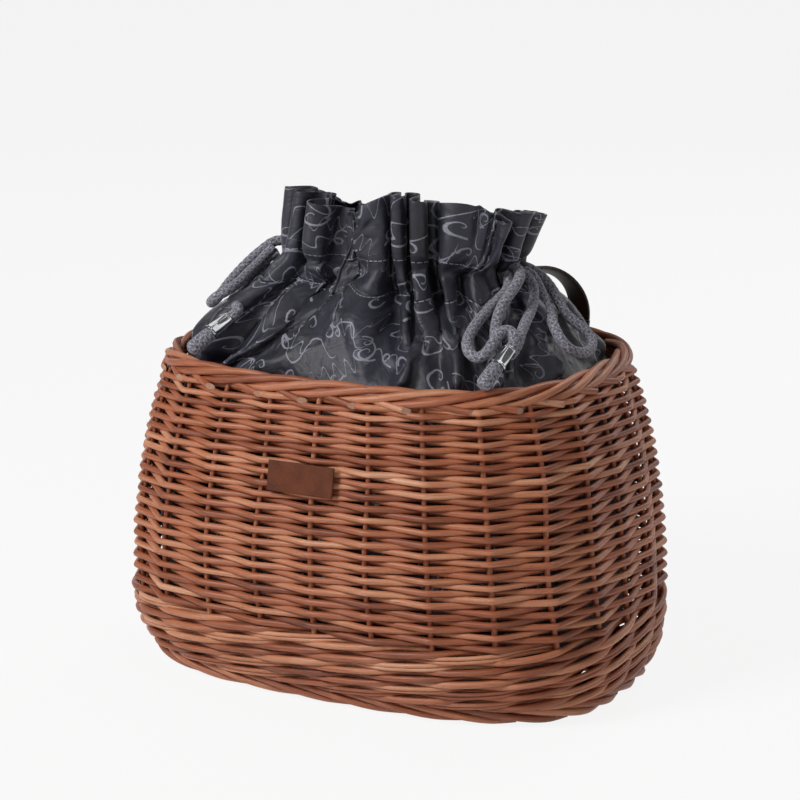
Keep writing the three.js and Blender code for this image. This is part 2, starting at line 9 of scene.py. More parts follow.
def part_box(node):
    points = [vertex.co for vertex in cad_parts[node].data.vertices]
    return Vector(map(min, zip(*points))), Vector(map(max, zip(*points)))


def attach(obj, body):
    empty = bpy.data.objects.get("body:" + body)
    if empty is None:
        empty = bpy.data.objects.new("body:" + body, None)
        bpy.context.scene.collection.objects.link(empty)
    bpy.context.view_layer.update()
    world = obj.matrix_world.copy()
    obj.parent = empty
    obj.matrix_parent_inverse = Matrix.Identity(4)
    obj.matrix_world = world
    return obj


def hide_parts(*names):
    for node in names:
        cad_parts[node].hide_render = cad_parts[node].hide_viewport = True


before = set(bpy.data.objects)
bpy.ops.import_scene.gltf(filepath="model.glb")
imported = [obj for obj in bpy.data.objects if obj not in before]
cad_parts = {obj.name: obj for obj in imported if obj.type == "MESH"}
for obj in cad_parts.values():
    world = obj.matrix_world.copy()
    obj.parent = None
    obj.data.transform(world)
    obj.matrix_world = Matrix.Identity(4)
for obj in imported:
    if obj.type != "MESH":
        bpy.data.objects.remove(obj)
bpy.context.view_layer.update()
bpy.ops.object.select_all(action="DESELECT")
chance = random.Random(26)
mm = 0.001

cameraSet = {
    "position": (0.981706, -1.843765, 0.738602),
    "target": (0.00106, 0.00056, 0.2294),
    "lens": 113.2,
    "sensor": 36.0,
    "clip": 20,
}


def addCamera():
    aim = Vector(cameraSet["target"]) - Vector(cameraSet["position"])
    turn = aim.to_track_quat("-Z", "Y").to_euler()
    bpy.ops.object.camera_add(location=cameraSet["position"], rotation=turn)
    camera = bpy.context.active_object
    camera.data.lens = cameraSet["lens"]
    camera.data.sensor_width = cameraSet["sensor"]
    camera.data.clip_end = cameraSet["clip"]
    bpy.context.scene.camera = camera


addCamera()
print("camera set")


# small mesh helpers
def pick(obj):
    bpy.ops.object.select_all(action="DESELECT")
    obj.select_set(True)
    bpy.context.view_layer.objects.active = obj
    return obj


def meshObject(name, points, faces):
    mesh = bpy.data.meshes.new(name)
    mesh.from_pydata([tuple(p) for p in points], [], faces)
    mesh.update()
    obj = bpy.data.objects.new(name, mesh)
    bpy.context.scene.collection.objects.link(obj)
    return obj


def gridFaces(rows, count):
    # faces between closed rows of so many points
    faces = []
    for r in range(rows - 1):
        for k in range(count):
            n = (k + 1) % count
            faces.append((r * count + k, r * count + n, (r + 1) * count + n, (r + 1) * count + k))
    return faces


def finish(obj, body, material, nodes=()):
    obj.data.materials.clear()
    for one in material if isinstance(material, (list, tuple)) else [material]:
        obj.data.materials.append(one)
    obj.data.shade_smooth()
    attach(obj, body)
    if nodes:
        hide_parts(*nodes)
    return obj


def change(obj, kind, **settings):
    # one modifier, set and applied
    pick(obj)
    made = obj.modifiers.new(kind.lower(), kind)
    for key, value in settings.items():
        setattr(made, key, value)
    bpy.ops.object.modifier_apply(modifier=made.name)


def roundEdges(obj, width, segments, degrees):
    limit = math.radians(degrees)
    change(obj, "BEVEL", width=width, segments=segments, limit_method="ANGLE", angle_limit=limit)


def creaseFrom(obj, degrees):
    pick(obj)
    bpy.ops.object.shade_smooth_by_angle(angle=math.radians(degrees))


def linear(red, green, blue):
    def one(value):
        value /= 255
        return value / 12.92 if value <= 0.04045 else ((value + 0.055) / 1.055) ** 2.4
    return one(red), one(green), one(blue)


class Nodes:
    # the nodes of one material or world, with a short call for each sum
    def __init__(self, tree):
        self.tree = tree

    def fill(self, socket, value):
        if isinstance(value, bpy.types.NodeSocket):
            self.tree.links.new(value, socket)
        else:
            socket.default_value = value

    def add(self, kind, inputs=None, **settings):
        made = self.tree.nodes.new(kind)
        for key, value in settings.items():
            setattr(made, key, value)
        for key, value in (inputs or {}).items():
            self.fill(made.inputs[key], value)
        return made

    def calc(self, operation, *values, clamp=False):
        made = self.add("ShaderNodeMath", operation=operation, use_clamp=clamp)
        for socket, value in zip(made.inputs, values):
            self.fill(socket, value)
        return made.outputs[0]

    def times(self, a, b):
        return self.calc("MULTIPLY", a, b)

    def plus(self, a, b):
        return self.calc("ADD", a, b)

    def minus(self, a, b):
        return self.calc("SUBTRACT", a, b)

    def below(self, a, b):
        return self.calc("LESS_THAN", a, b)

    def vector(self, operation, inputs):
        return self.add("ShaderNodeVectorMath", inputs, operation=operation).outputs[0]

    def combine(self, x, y, z):
        return self.add("ShaderNodeCombineXYZ", dict(zip("XYZ", (x, y, z)))).outputs[0]

    def split(self, vector):
        return self.add("ShaderNodeSeparateXYZ", {0: vector}).outputs

    def noise(self, vector, scale, detail, **more):
        inputs = {"Vector": vector, "Scale": scale, "Detail": detail, **more}
        return self.add("ShaderNodeTexNoise", inputs).outputs["Fac"]

    def spots(self, vector, scale):
        return self.add("ShaderNodeTexVoronoi", {"Vector": vector, "Scale": scale}).outputs["Distance"]

    def attribute(self, name):
        return self.add("ShaderNodeAttribute", attribute_name=name).outputs["Fac"]

    def uv(self):
        return self.add("ShaderNodeUVMap", uv_map="UVMap").outputs[0]

    def ramp(self, factor, stops):
        made = self.add("ShaderNodeValToRGB")
        ends = made.color_ramp.elements
        for element, (place, colour) in ((ends[0], stops[0]), (ends[1], stops[-1])):
            element.position, element.color = place, (*colour, 1)
        for place, colour in stops[1:-1]:
            ends.new(place).color = (*colour, 1)
        self.tree.links.new(factor, made.inputs[0])
        return made.outputs[0]

    def mix(self, factor, a, b):
        made = self.add("ShaderNodeMix", data_type="RGBA")
        for key, value in ((0, factor), (6, a), (7, b)):
            whole = key == 0 or isinstance(value, bpy.types.NodeSocket)
            self.fill(made.inputs[key], value if whole else (*value, 1))
        return made.outputs[2]

    def bump(self, height, strength, distance, **more):
        inputs = {"Height": height, "Strength": strength, "Distance": distance, **more}
        return self.add("ShaderNodeBump", inputs).outputs[0]


def newMaterial(name, **surface):
    # surface holds the shader's inputs that are one number all over
    material = bpy.data.materials.new(name)
    material.use_nodes = True
    shader = material.node_tree.nodes["Principled BSDF"]
    for key, value in surface.items():
        shader.inputs[surfaceNames[key]].default_value = value
    return material, Nodes(material.node_tree), shader.inputs


surfaceNames = {
    "roughness": "Roughness",
    "metallic": "Metallic",
    "specular": "Specular IOR Level",
    "sheen": "Sheen Weight",
    "sheenRoughness": "Sheen Roughness",
}

willowSet = {
    "stops": [
        (0.0, linear(88, 38, 20)),
        (0.25, linear(138, 72, 42)),
        (0.5, linear(173, 102, 69)),
        (0.75, linear(202, 137, 101)),
        (1.0, linear(228, 175, 142)),
    ],
    "warm": linear(176, 96, 58),
    "dark": linear(74, 34, 24),
    "roughness": 0.36,
    "roughnessSpread": 0.22,
    "grainDepth": 0.00012,
    # how much each pattern tells in the tone, and what is added to it
    "parts": {"tone": 0.55, "slow": 0.85, "streak": 0.75, "lift": 0.22},
    "warmth": {"from": 0.53, "slope": 5.0, "most": 0.5},
    "relief": {"streak": 0.7, "fine": 0.5, "knot": 0.4, "strength": 0.6},
    # how fast each pattern runs along a rod, how much round it, and its detail and roughness
    "slow": (9.0, 0.25, 2.0, 0.5),
    "streak": (55.0, 2.6, 4.0, 0.6),
    "fine": (260.0, 9.0, 3.0, 0.65),
    "orange": (16.0, 0.6, 2.0, 0.5),
    "knots": (42.0, 0.9, 0.085, 0.75),
    "specks": (240.0, 1.8, 0.13, 0.35),
}


# shift lowers the whole tone: painted shade on the darker copy
def willowMaterial(name, shadeShift=0.0):
    material, nodes, shader = newMaterial(name)
    along, around = nodes.split(nodes.uv())[:2]
    tone = nodes.attribute("rodTone")
    angle = nodes.times(around, 2 * math.pi)
    side, lift = nodes.calc("COSINE", angle), nodes.calc("SINE", angle)

    def grain(key, second=None, third=None):
        fast, wide, detail, rough = willowSet[key]
        place = nodes.combine(
            nodes.times(along, fast), second or nodes.times(side, wide), third or nodes.times(lift, wide),
        )
        return nodes.noise(place, 1.0, detail, Roughness=rough)

    def marks(key):
        fast, wide, size, strength = willowSet[key]
        place = nodes.combine(nodes.times(along, fast), nodes.times(side, wide), nodes.times(lift, wide))
        spot = nodes.below(nodes.spots(place, 1.0), size)
        return spot, nodes.times(spot, strength)

    slow = grain("slow", third=nodes.times(tone, 37.0))
    streak, fine = grain("streak"), grain("fine")
    parts, warmth, relief = willowSet["parts"], willowSet["warmth"], willowSet["relief"]
    value = nodes.times(tone, parts["tone"])
    for pattern, part in ((slow, parts["slow"]), (streak, parts["streak"])):
        value = nodes.plus(value, nodes.times(nodes.minus(pattern, 0.5), part))
    colour = nodes.ramp(nodes.plus(value, parts["lift"] + shadeShift), willowSet["stops"])
    orange = grain("orange", second=nodes.times(tone, 91.0))
    warm = nodes.calc("MULTIPLY", nodes.minus(orange, warmth["from"]), warmth["slope"], clamp=True)
    colour = nodes.mix(nodes.times(warm, warmth["most"]), colour, willowSet["warm"])
    knot, knotDark = marks("knots")
    speckDark = marks("specks")[1]
    colour = nodes.mix(nodes.calc("MAXIMUM", knotDark, speckDark), colour, willowSet["dark"])
    nodes.fill(shader["Base Color"], colour)
    rough = nodes.plus(nodes.times(fine, willowSet["roughnessSpread"]), willowSet["roughness"])
    nodes.fill(shader["Roughness"], rough)
    height = nodes.plus(nodes.times(streak, relief["streak"]), nodes.times(fine, relief["fine"]))
    height = nodes.minus(height, nodes.times(knot, relief["knot"]))
    nodes.fill(shader["Normal"], nodes.bump(height, relief["strength"], willowSet["grainDepth"]))
    return material


clothSet = {
    "base": linear(42, 41, 56),
    "deep": linear(24, 24, 33),
    "print": linear(158, 158, 172),
    "stitchLength": 0.0034,
    "stitchWidth": 0.0004,
    "stitchShare": 0.72,
    "thread": 0.0006,
    "wobble": 0.008,
    # cells a metre, seed, reach, turns and line width of the printed curls, in cells
    "curls": [(14.0, 1.0, 0.25, 1.6, 0.07), (18.0, 5.0, 0.2, 1.25, 0.08), (27.0, 9.0, 0.2, 1.1, 0.1)],
    # cells a metre, seed, half length, bow, waves and line width of the strokes
    "sweeps": [
        (12.0, 2.0, 0.44, 0.13, 2.0, 0.0125), (14.0, 7.0, 0.38, -0.1, 5.0, 0.0135),
        (17.0, 4.0, 0.34, 0.08, 3.0, 0.014),
    ],
}


def motifPlace(nodes, uv, scale, seed, spread, randomness):
    # each motif has a cell of its own and is turned by a random angle about the cell's middle
    moved = nodes.vector("ADD", {0: uv, 1: (seed * 1.37, seed * 0.71, 0)})
    cellInputs = {"Vector": moved, "Scale": scale, "Randomness": randomness}
    middle = nodes.add("ShaderNodeTexVoronoi", cellInputs, voronoi_dimensions="2D").outputs["Position"]
    scaled = nodes.vector("SCALE", {0: moved, 3: scale})
    local = nodes.vector("SUBTRACT", {0: scaled, 1: nodes.vector("SCALE", {0: middle, 3: scale})})
    spin = nodes.add("ShaderNodeTexWhiteNoise", {"Vector": middle}, noise_dimensions="3D").outputs["Value"]
    angle = nodes.times(nodes.minus(spin, 0.5), spread)
    turned = nodes.add("ShaderNodeVectorRotate", {"Vector": local, "Angle": angle}, rotation_type="Z_AXIS")
    return nodes.split(turned.outputs[0])[:2]


def curlMask(nodes, uv, scale, seed, reach, turns, width):
    # a spiral whose radius grows by one pitch a turn, thicker on one side as a pen draws it
    x, y = motifPlace(nodes, uv, scale, seed, 2 * math.pi, 0.75)
    radius = nodes.calc("SQRT", nodes.plus(nodes.times(x, x), nodes.times(y, y)))
    theta = nodes.calc("DIVIDE", nodes.calc("ARCTAN2", y, x), 2 * math.pi)
    phase = nodes.minus(nodes.calc("DIVIDE", radius, reach / turns), theta)
    near = nodes.calc("ABSOLUTE", nodes.minus(nodes.calc("FRACT", phase), 0.5))
    pen = nodes.calc("SINE", nodes.times(theta, 2 * math.pi))
    line = nodes.below(near, nodes.calc("MULTIPLY_ADD", pen, width * 0.4, width))
    edge = nodes.times(nodes.calc("MULTIPLY_ADD", theta, 0.35, 0.85), reach)
    return nodes.times(line, nodes.below(radius, edge))


def sweepMask(nodes, uv, scale, seed, length, bow, waves, width):
    # a waving stroke that tapers to both ends
    x, y = motifPlace(nodes, uv, scale, seed, 1.6, 0.8)
    share = nodes.calc("DIVIDE", x, length)
    wave = nodes.times(nodes.calc("SINE", nodes.times(share, math.pi * waves)), bow)
    away = nodes.calc("ABSOLUTE", nodes.minus(y, wave))
    return nodes.below(away, nodes.times(nodes.minus(1.0, nodes.times(share, share)), width))


def stitchMask(nodes, around, up, row):
    # one row of machine stitches round the bag
    near = nodes.below(nodes.calc("ABSOLUTE", nodes.minus(up, row)), clothSet["stitchWidth"])
    dash = nodes.calc("FRACT", nodes.calc("DIVIDE", around, clothSet["stitchLength"]))
    return nodes.times(near, nodes.below(dash, clothSet["stitchShare"]))


def clothMaterial(stitchRows):
    material, nodes, shader = newMaterial("liner_cloth", roughness=0.46, sheen=0.12, sheenRoughness=0.4)
    uv = nodes.uv()
    wobble = nodes.add("ShaderNodeTexNoise", {"Vector": uv, "Scale": 45.0, "Detail": 1.0}).outputs["Color"]
    centred = nodes.vector("SUBTRACT", {0: wobble, 1: (0.5, 0.5, 0.5)})
    warped = nodes.vector("ADD", {0: uv, 1: nodes.vector("SCALE", {0: centred, 3: clothSet["wobble"]})})
    masks = [curlMask(nodes, warped, *facts) for facts in clothSet["curls"]]
    masks += [sweepMask(nodes, warped, *facts) for facts in clothSet["sweeps"]]
    marks = masks[0]
    for mask in masks[1:]:
        marks = nodes.calc("MAXIMUM", marks, mask)
    wear = nodes.noise(uv, 900.0, 2.0)
    marks = nodes.times(marks, nodes.calc("MULTIPLY_ADD", wear, 0.9, 0.25))
    around, up = nodes.split(uv)[:2]
    for row in stitchRows:
        marks = nodes.calc("MAXIMUM", marks, stitchMask(nodes, around, up, row))
    ground = nodes.ramp(nodes.noise(uv, 14.0, 3.0), [(0.3, clothSet["deep"]), (0.7, clothSet["base"])])
    nodes.fill(shader["Base Color"], nodes.mix(marks, ground, clothSet["print"]))
    # plain weave of fine threads, with small crumples
    rate = 2 * math.pi / clothSet["thread"]
    threads = nodes.times(*(nodes.calc("SINE", nodes.times(way, rate)) for way in (around, up)))
    creased = nodes.bump(nodes.noise(uv, 60.0, 2.0, Distortion=1.5), 0.35, 0.004)
    nodes.fill(shader["Normal"], nodes.bump(threads, 0.25, 0.0001, Normal=creased))
    return material


braidLook = {
    "stops": [(0.3, linear(66, 65, 74)), (0.5, linear(134, 132, 144)), (0.72, linear(228, 226, 236))],
    # painted shade in the braid's hollows: the dark colour they are mixed towards, and how far
    "hollowShade": linear(34, 33, 40),
    "depth": 0.72,
    # how often the mottle and the fibres repeat, along and round the cord
    "mottle": (700.0, 18.0),
    "fibres": (2600.0, 60.0),
}


def braidMaterial():
    material, nodes, shader = newMaterial("cord_braid", roughness=0.9, sheen=0.2)
    along, around = nodes.split(nodes.uv())[:2]
    mottle, fibres = (
        nodes.combine(nodes.times(along, fast), nodes.times(around, wide), 0.0)
        for fast, wide in (braidLook["mottle"], braidLook["fibres"])
    )
    colour = nodes.ramp(nodes.noise(mottle, 1.0, 3.0, Roughness=0.7), braidLook["stops"])
    # painted shade: darker where the braid's surface dips between the strands
    hollowShade = nodes.times(nodes.attribute("braidHollowShade"), braidLook["depth"])
    nodes.fill(shader["Base Color"], nodes.mix(hollowShade, colour, braidLook["hollowShade"]))
    nodes.fill(shader["Normal"], nodes.bump(nodes.noise(fibres, 1.0, 2.0), 0.6, 0.0003))
    return material


def speckledMaterial(name, scale, dark, light, bumpDepth=0.0, roughSpread=0.0, **surface):
    # one noise over the object drives the colour and, where asked, the bump or the roughness
    material, nodes, shader = newMaterial(name, **surface)
    place = nodes.add("ShaderNodeTexCoord").outputs["Object"]
    speckle = nodes.noise(place, scale, 3.0)
    nodes.fill(shader["Base Color"], nodes.ramp(speckle, [(0.3, linear(*dark)), (0.7, linear(*light))]))
    if bumpDepth:
        nodes.fill(shader["Normal"], nodes.bump(speckle, 0.5, bumpDepth))
    if roughSpread:
        nodes.fill(shader["Roughness"], nodes.plus(nodes.times(speckle, roughSpread), surface["roughness"]))
    return material


def leatherMaterial(name, dark, light, roughness, grain):
    material, nodes, shader = newMaterial(name, specular=0.3)
    place = nodes.add("ShaderNodeTexCoord").outputs["Object"]
    blotch, pores = nodes.noise(place, 70.0, 4.0), nodes.spots(place, grain)
    mixed = nodes.plus(nodes.times(blotch, 0.8), nodes.times(pores, 0.3))
    nodes.fill(shader["Base Color"], nodes.ramp(mixed, [(0.35, linear(*dark)), (0.75, linear(*light))]))
    nodes.fill(shader["Roughness"], nodes.plus(nodes.times(blotch, 0.2), roughness))
    nodes.fill(shader["Normal"], nodes.bump(pores, 0.45, 0.0003))
    return material


willow = willowMaterial("willow_rods")
# a darker copy of the willow: painted shade for the stakes, border cores and base sticks, which sit in shade
# between and behind the rods
willowShaded = willowMaterial("willow_shaded", -0.1)
cutWood = speckledMaterial(
    "cut_willow", 1500.0, (168, 120, 98), (206, 164, 140), bumpDepth=0.0002, roughness=0.8,
)
braid = braidMaterial()
chrome = speckledMaterial(
    "bell_chrome", 260.0, (176, 177, 181), (198, 199, 202), roughSpread=0.08, metallic=1.0, roughness=0.05,
)
strapLeather = leatherMaterial("strap_leather", (16, 10, 8), (44, 24, 19), 0.4, 900.0)
labelLeather = leatherMaterial("label_leather", (78, 38, 20), (112, 59, 36), 0.62, 1100.0)
rivetMetal = speckledMaterial(
    "rivet_metal", 900.0, (120, 112, 100), (160, 152, 140), metallic=1.0, roughness=0.34,
)
print("materials made")


cordSet = {
    "diameter": 0.009,
    "step": 0.001,
    "samples": 40,          # steps of the fine curve for each point of a route
    "sides": 24,
    "braidRows": 5,
    "braidPitch": 0.0062,
    "braidDepth": 0.00042,
    "bellLength": 0.02,
    "gap": 0.0003,
}

bellSet = {
    "bore": 0.005,
    "neck": 0.00575,
    "lip": 0.00725,
    "edge": 0.0003,
    "groove": (0.0014, 0.0018, 0.0024),         # heights under the top
    "roll": (0.0022, 0.0017, 0.0013, 0.0004),   # heights over the mouth
    "steps": 40,
}

knobSet = {
    "diameter": 0.013,
    "length": 0.024,
    "rings": 30,
    "sides": 30,
    "roundFrom": 0.72,
    "roundPower": 2.2,
    "tip": 0.12,
    "pinch": 0.07,
    "pinchTo": 0.2,
    "braid": (6, 0.0058, 0.11),
}

rightBellTop = (149.5, -95, 308)
rightBellMouth = (146.5, -111.5, 297)
leftBellTop = (-100, -110, 311.5)
leftBellMouth = (-109.5, -123.5, 300.5)

routes = {
    "tail_right": [
        (109.5, -18, 351), (113, -22, 349), (116, -29, 342.5), (114.5, -40.5, 336), (113.5, -58, 330),
        (112.5, -75.5, 323.5), (113, -90.5, 316.5), (115.5, -102, 310), (121.5, -108.5, 304.5),
        (129, -109.5, 302), (135, -105.5, 306.5), (137, -98, 313), (138.5, -89.5, 318.5),
        (142.5, -83.5, 320.5), (147.5, -84.5, 317.5), (150.5, -89.5, 311.7),
    ],
    "loop_right": [
        (108.5, -7, 355), (115, -10, 355.5), (122.5, -20, 353), (126.5, -34, 348), (125.5, -46, 341),
        (124, -59, 331), (126, -71.5, 320), (131.5, -83, 311.5), (139, -90.5, 304), (145.5, -87, 301),
        (146.5, -76, 306), (143.5, -61, 314), (140, -45, 320), (136, -27, 325.5), (131.5, -12, 332),
        (126, -2.5, 341), (118, 1, 348), (111, 2, 349.5),
    ],
    "bow_right": [
        (111, 12, 349.5), (118, 12, 346.5), (127, 9, 337), (135.5, 0, 329), (145.5, -11, 320.5),
        (155, -22, 312.5), (164, -28, 304), (170.5, -23.5, 296), (175, -9, 291), (174.5, 8, 292),
        (170.5, 17, 297.5), (164.5, 16.5, 304.5), (157, 12.5, 311), (150, 11, 317.5),
        (142.5, 14, 325.5), (133.5, 20, 334.5), (124, 23.5, 342), (115, 23, 348), (107.5, 22, 351),
    ],
    "loop_left": [
        (-109, -6, 360), (-116, -10, 358.5), (-124, -20, 351), (-132.5, -33, 339.5),
        (-138.5, -47, 327.5), (-139.5, -61, 319), (-137.5, -76, 315.5), (-131, -88, 318.5),
        (-122.5, -93, 324.5), (-115, -87, 330), (-112.5, -74, 334.5), (-113, -58, 339.5),
        (-112.5, -43, 345), (-111, -32, 351), (-107, -26, 357),
    ],
    "tail_left": [
        (-113, -8, 349), (-118.5, -14, 345.5), (-121, -27, 339), (-120, -43, 334), (-119, -59, 328),
        (-117.5, -72, 322.5), (-114, -83, 318.5), (-107.5, -92, 317.5), (-100, -98, 319),
        (-95.5, -103.5, 317.3),
    ],
}


def curvePoint(points, place):
    # the same centripetal curve through the points as the solids follow
    index = min(int(place), len(points) - 2)
    weight = place - index
    p1, p2 = points[index], points[index + 1]
    p0 = points[index - 1] if index > 0 else p1 * 2 - p2
    p3 = points[index + 2] if index + 2 < len(points) else p2 * 2 - p1
    d0, d1, d2 = (max((b - a).length, 1e-6) ** 0.5 for a, b in ((p0, p1), (p1, p2), (p2, p3)))
    t1 = ((p1 - p0) / d0 - (p2 - p0) / (d0 + d1) + (p2 - p1) / d1) * d1
    t2 = ((p2 - p1) / d1 - (p3 - p1) / (d1 + d2) + (p3 - p2) / d2) * d1
    c2 = p1 * -3 + p2 * 3 - t1 * 2 - t2
    c3 = p1 * 2 - p2 * 2 + t1 + t2
    return p1 + t1 * weight + c2 * weight ** 2 + c3 * weight ** 3


def evenCurve(points, step):
    points = [Vector(p) for p in points]
    steps = len(points) * cordSet["samples"]
    fine = [curvePoint(points, i * (len(points) - 1) / steps) for i in range(steps + 1)]
    lengths = [0.0]
    for a, b in zip(fine, fine[1:]):
        lengths.append(lengths[-1] + (b - a).length)
    count = max(round(lengths[-1] / step), 2)
    line, seek = [], 0
    for i in range(count + 1):
        want = lengths[-1] * i / count
        while seek < len(fine) - 2 and lengths[seek + 1] < want:
            seek += 1
        share = (want - lengths[seek]) / max(lengths[seek + 1] - lengths[seek], 1e-9)
        line.append(fine[seek].lerp(fine[seek + 1], min(share, 1.0)))
    return line, lengths[-1]


def turningFrames(line):
    last = len(line) - 1
    tangents = [(line[min(i + 1, last)] - line[max(i - 1, 0)]).normalized() for i in range(len(line))]
    side = tangents[0].orthogonal().normalized()
    frames = []
    for tangent in tangents:
        side = (side - tangent * side.dot(tangent)).normalized()
        frames.append((tangent, side, tangent.cross(side)))
    return frames


def tube(name, line, radiusAt, sides):
    frames = turningFrames(line)
    points, hollowShades, lengths = [], [], []
    along = 0.0
    for i, (centre, (tangent, side, up)) in enumerate(zip(line, frames)):
        along += (centre - line[i - 1]).length if i else 0.0
        lengths.append(along)
        for k in range(sides):
            angle = 2 * math.pi * k / sides
            radius, hollowShade = radiusAt(along, angle)
            points.append(centre + (side * math.cos(angle) + up * math.sin(angle)) * radius)
            hollowShades.append(hollowShade)
    rows = len(line)
    faces = gridFaces(rows, sides)
    faces.append(tuple(reversed(range(sides))))
    faces.append(tuple((rows - 1) * sides + k for k in range(sides)))
    obj = meshObject(name, points, faces)
    layer = obj.data.uv_layers.new(name="UVMap")
    for face in obj.data.polygons:
        for loop in face.loop_indices:
            vertex = obj.data.loops[loop].vertex_index
            k = vertex % sides
            v = k / sides
            if k == 0 and face.index < (rows - 1) * sides and face.index % sides == sides - 1:
                v = 1.0
            layer.data[loop].uv = (lengths[vertex // sides], v)
    # each point's share of painted shade in the braid's hollows
    attribute = obj.data.attributes.new("braidHollowShade", "FLOAT", "POINT")
    attribute.data.foreach_set("value", hollowShades)
    return obj


def braidRadius(radius, rows, pitch, depth):
    def at(along, angle):
        one = math.cos(rows * angle + 2 * math.pi * along / pitch)
        two = math.cos(rows * angle - 2 * math.pi * along / pitch)
        swell = max(one, two)
        # the share of painted shade, highest where the braid's surface dips
        hollowShade = max(0.0, min(1.0, (0.45 - swell) / 0.9))
        return radius - depth * (1 - swell) * 0.5, hollowShade
    return at


def addCord(name, route, nodes):
    line, length = evenCurve([Vector(p) * mm for p in route], cordSet["step"])
    weave = (cordSet["braidRows"], cordSet["braidPitch"], cordSet["braidDepth"])
    obj = tube(name, line, braidRadius(cordSet["diameter"] / 2, *weave), cordSet["sides"])
    finish(obj, "liner", braid, nodes)


def addBell(side, top, mouth):
    # a spun cup: neck, flared side with a rolled lip, and its bore
    top, mouth = Vector(top) * mm, Vector(mouth) * mm
    direction = (mouth - top).normalized()
    bore, neck, lip = bellSet["bore"], bellSet["neck"], bellSet["lip"]
    edge, groove, length = bellSet["edge"], bellSet["groove"], cordSet["bellLength"]
    profile = [(bore, edge), (bore + edge, 0.0), (neck - 0.0002, 0.0), (neck, edge)]
    profile += zip((neck, neck - edge, neck - 0.0002), groove)
    profile += zip((lip - 2 * edge, lip - edge, lip, lip), (length - height for height in bellSet["roll"]))
    profile += [(lip - edge, length), (bore + edge, length), (bore, length - edge)]
    bpy.ops.object.select_all(action="DESELECT")
    bpy.ops.mesh.primitive_circle_add(vertices=len(profile), radius=0.001, fill_type="NOTHING")
    obj = bpy.context.active_object
    obj.name = f"bell_shell_{side}"
    for vertex, (radius, height) in zip(obj.data.vertices, profile):
        vertex.co = (radius, 0.0, height)
    bpy.ops.object.mode_set(mode="EDIT")
    bpy.ops.mesh.select_all(action="SELECT")
    bpy.ops.mesh.spin(steps=bellSet["steps"], angle=2 * math.pi, center=(0, 0, 0), axis=(0, 0, 1))
    bpy.ops.mesh.select_all(action="SELECT")
    bpy.ops.mesh.remove_doubles(threshold=0.00002)
    bpy.ops.mesh.normals_make_consistent(inside=False)
    bpy.ops.object.mode_set(mode="OBJECT")
    turn = Vector((0, 0, 1)).rotation_difference(direction).to_matrix().to_4x4()
    obj.data.transform(Matrix.Translation(top) @ turn)
    obj.matrix_world = Matrix.Identity(4)
    finish(obj, f"bell_{side}", chrome, [f"bell_{side}"])
    creaseFrom(obj, 35)
    return obj, direction


def addCordEnd(side, throughBell, direction):
    # the doubled cord under the bell, round at its tip
    start = throughBell + direction * cordSet["gap"]
    length, rings, straight = knobSet["length"], knobSet["rings"], knobSet["roundFrom"]
    line = [start + direction * length * i / rings for i in range(rings + 1)]
    weave = braidRadius(1.0, *knobSet["braid"])

    def at(along, angle):
        share = along / length
        past = max(0.0, share - straight) / (1 - straight)
        tip = math.sqrt(max(0.0, 1 - past ** knobSet["roundPower"]))
        pinch = 1 - knobSet["pinch"] * (1 - min(share / knobSet["pinchTo"], 1.0))
        swell, hollowShade = weave(along, angle)
        return knobSet["diameter"] / 2 * pinch * max(tip, knobSet["tip"]) * swell, hollowShade

    obj = tube(f"cord_knob_{side}", line, at, knobSet["sides"])
    return finish(obj, "liner", braid, [f"cord_end_{side}"])


def addDrawstrings():
    for side, top, mouth in (("right", rightBellTop, rightBellMouth), ("left", leftBellTop, leftBellMouth)):
        bell, direction = addBell(side, top, mouth)
        through = Vector(top) * mm + direction * cordSet["bellLength"]
        knob = addCordEnd(side, through, direction)
        route = [*routes[f"tail_{side}"], top, tuple(through / mm)]
        addCord(f"drawstring_tail_{side}", route, [f"cord_tail_{side}"])
    for loop in ("loop_right", "bow_right", "loop_left"):
        addCord(f"drawstring_{loop}", routes[loop], [f"cord_{loop}"])


addDrawstrings()
print("drawstrings laid")


wallSet = {
    "length": 0.454,
    "width": 0.360,
    "height": 0.280,
    "power": 2.9,
    "thickness": 0.012,
    "stakes": 26,
    "firstStakeArc": 0.0375,
    "arcSteps": 7200,
    "shares": [
        (0, 0.945, 0.755),
        (0.025, 0.956, 0.778),
        (0.15, 1, 0.9),
        (0.31, 0.991, 0.972),
        (0.5, 0.969, 1),
        (0.74, 0.925, 0.944),
        (0.975, 0.841, 0.878),
        (1, 0.83, 0.87),
    ],
}


def smoothShare(rows, column, share):
    last = len(rows) - 1
    held = min(max(share, rows[0][0]), rows[last][0])
    upper = max(next(i for i, row in enumerate(rows) if row[0] >= held), 1)

    def slope(index):
        before, after = rows[max(index - 1, 0)], rows[min(index + 1, last)]
        return (after[column] - before[column]) / (after[0] - before[0])

    low, high = rows[upper - 1], rows[upper]
    span = high[0] - low[0]
    t = (held - low[0]) / span
    rise = high[column] - low[column]
    start, end = slope(upper - 1) * span, slope(upper) * span
    bend = start + end - 2 * rise
    return low[column] + t * (start + t * (3 * rise - 2 * start - end + t * bend))


def wallHalves(height, inset=0.0):
    share = height / wallSet["height"]
    return (
        smoothShare(wallSet["shares"], 1, share) * wallSet["length"] / 2 - inset,
        smoothShare(wallSet["shares"], 2, share) * wallSet["width"] / 2 - inset,
    )


def planPoint(turn, halfLength, halfWidth, power=wallSet["power"]):
    c, s = math.cos(turn), math.sin(turn)
    return (
        math.copysign(halfLength * abs(c) ** (2 / power), c),
        math.copysign(halfWidth * abs(s) ** (2 / power), s),
    )


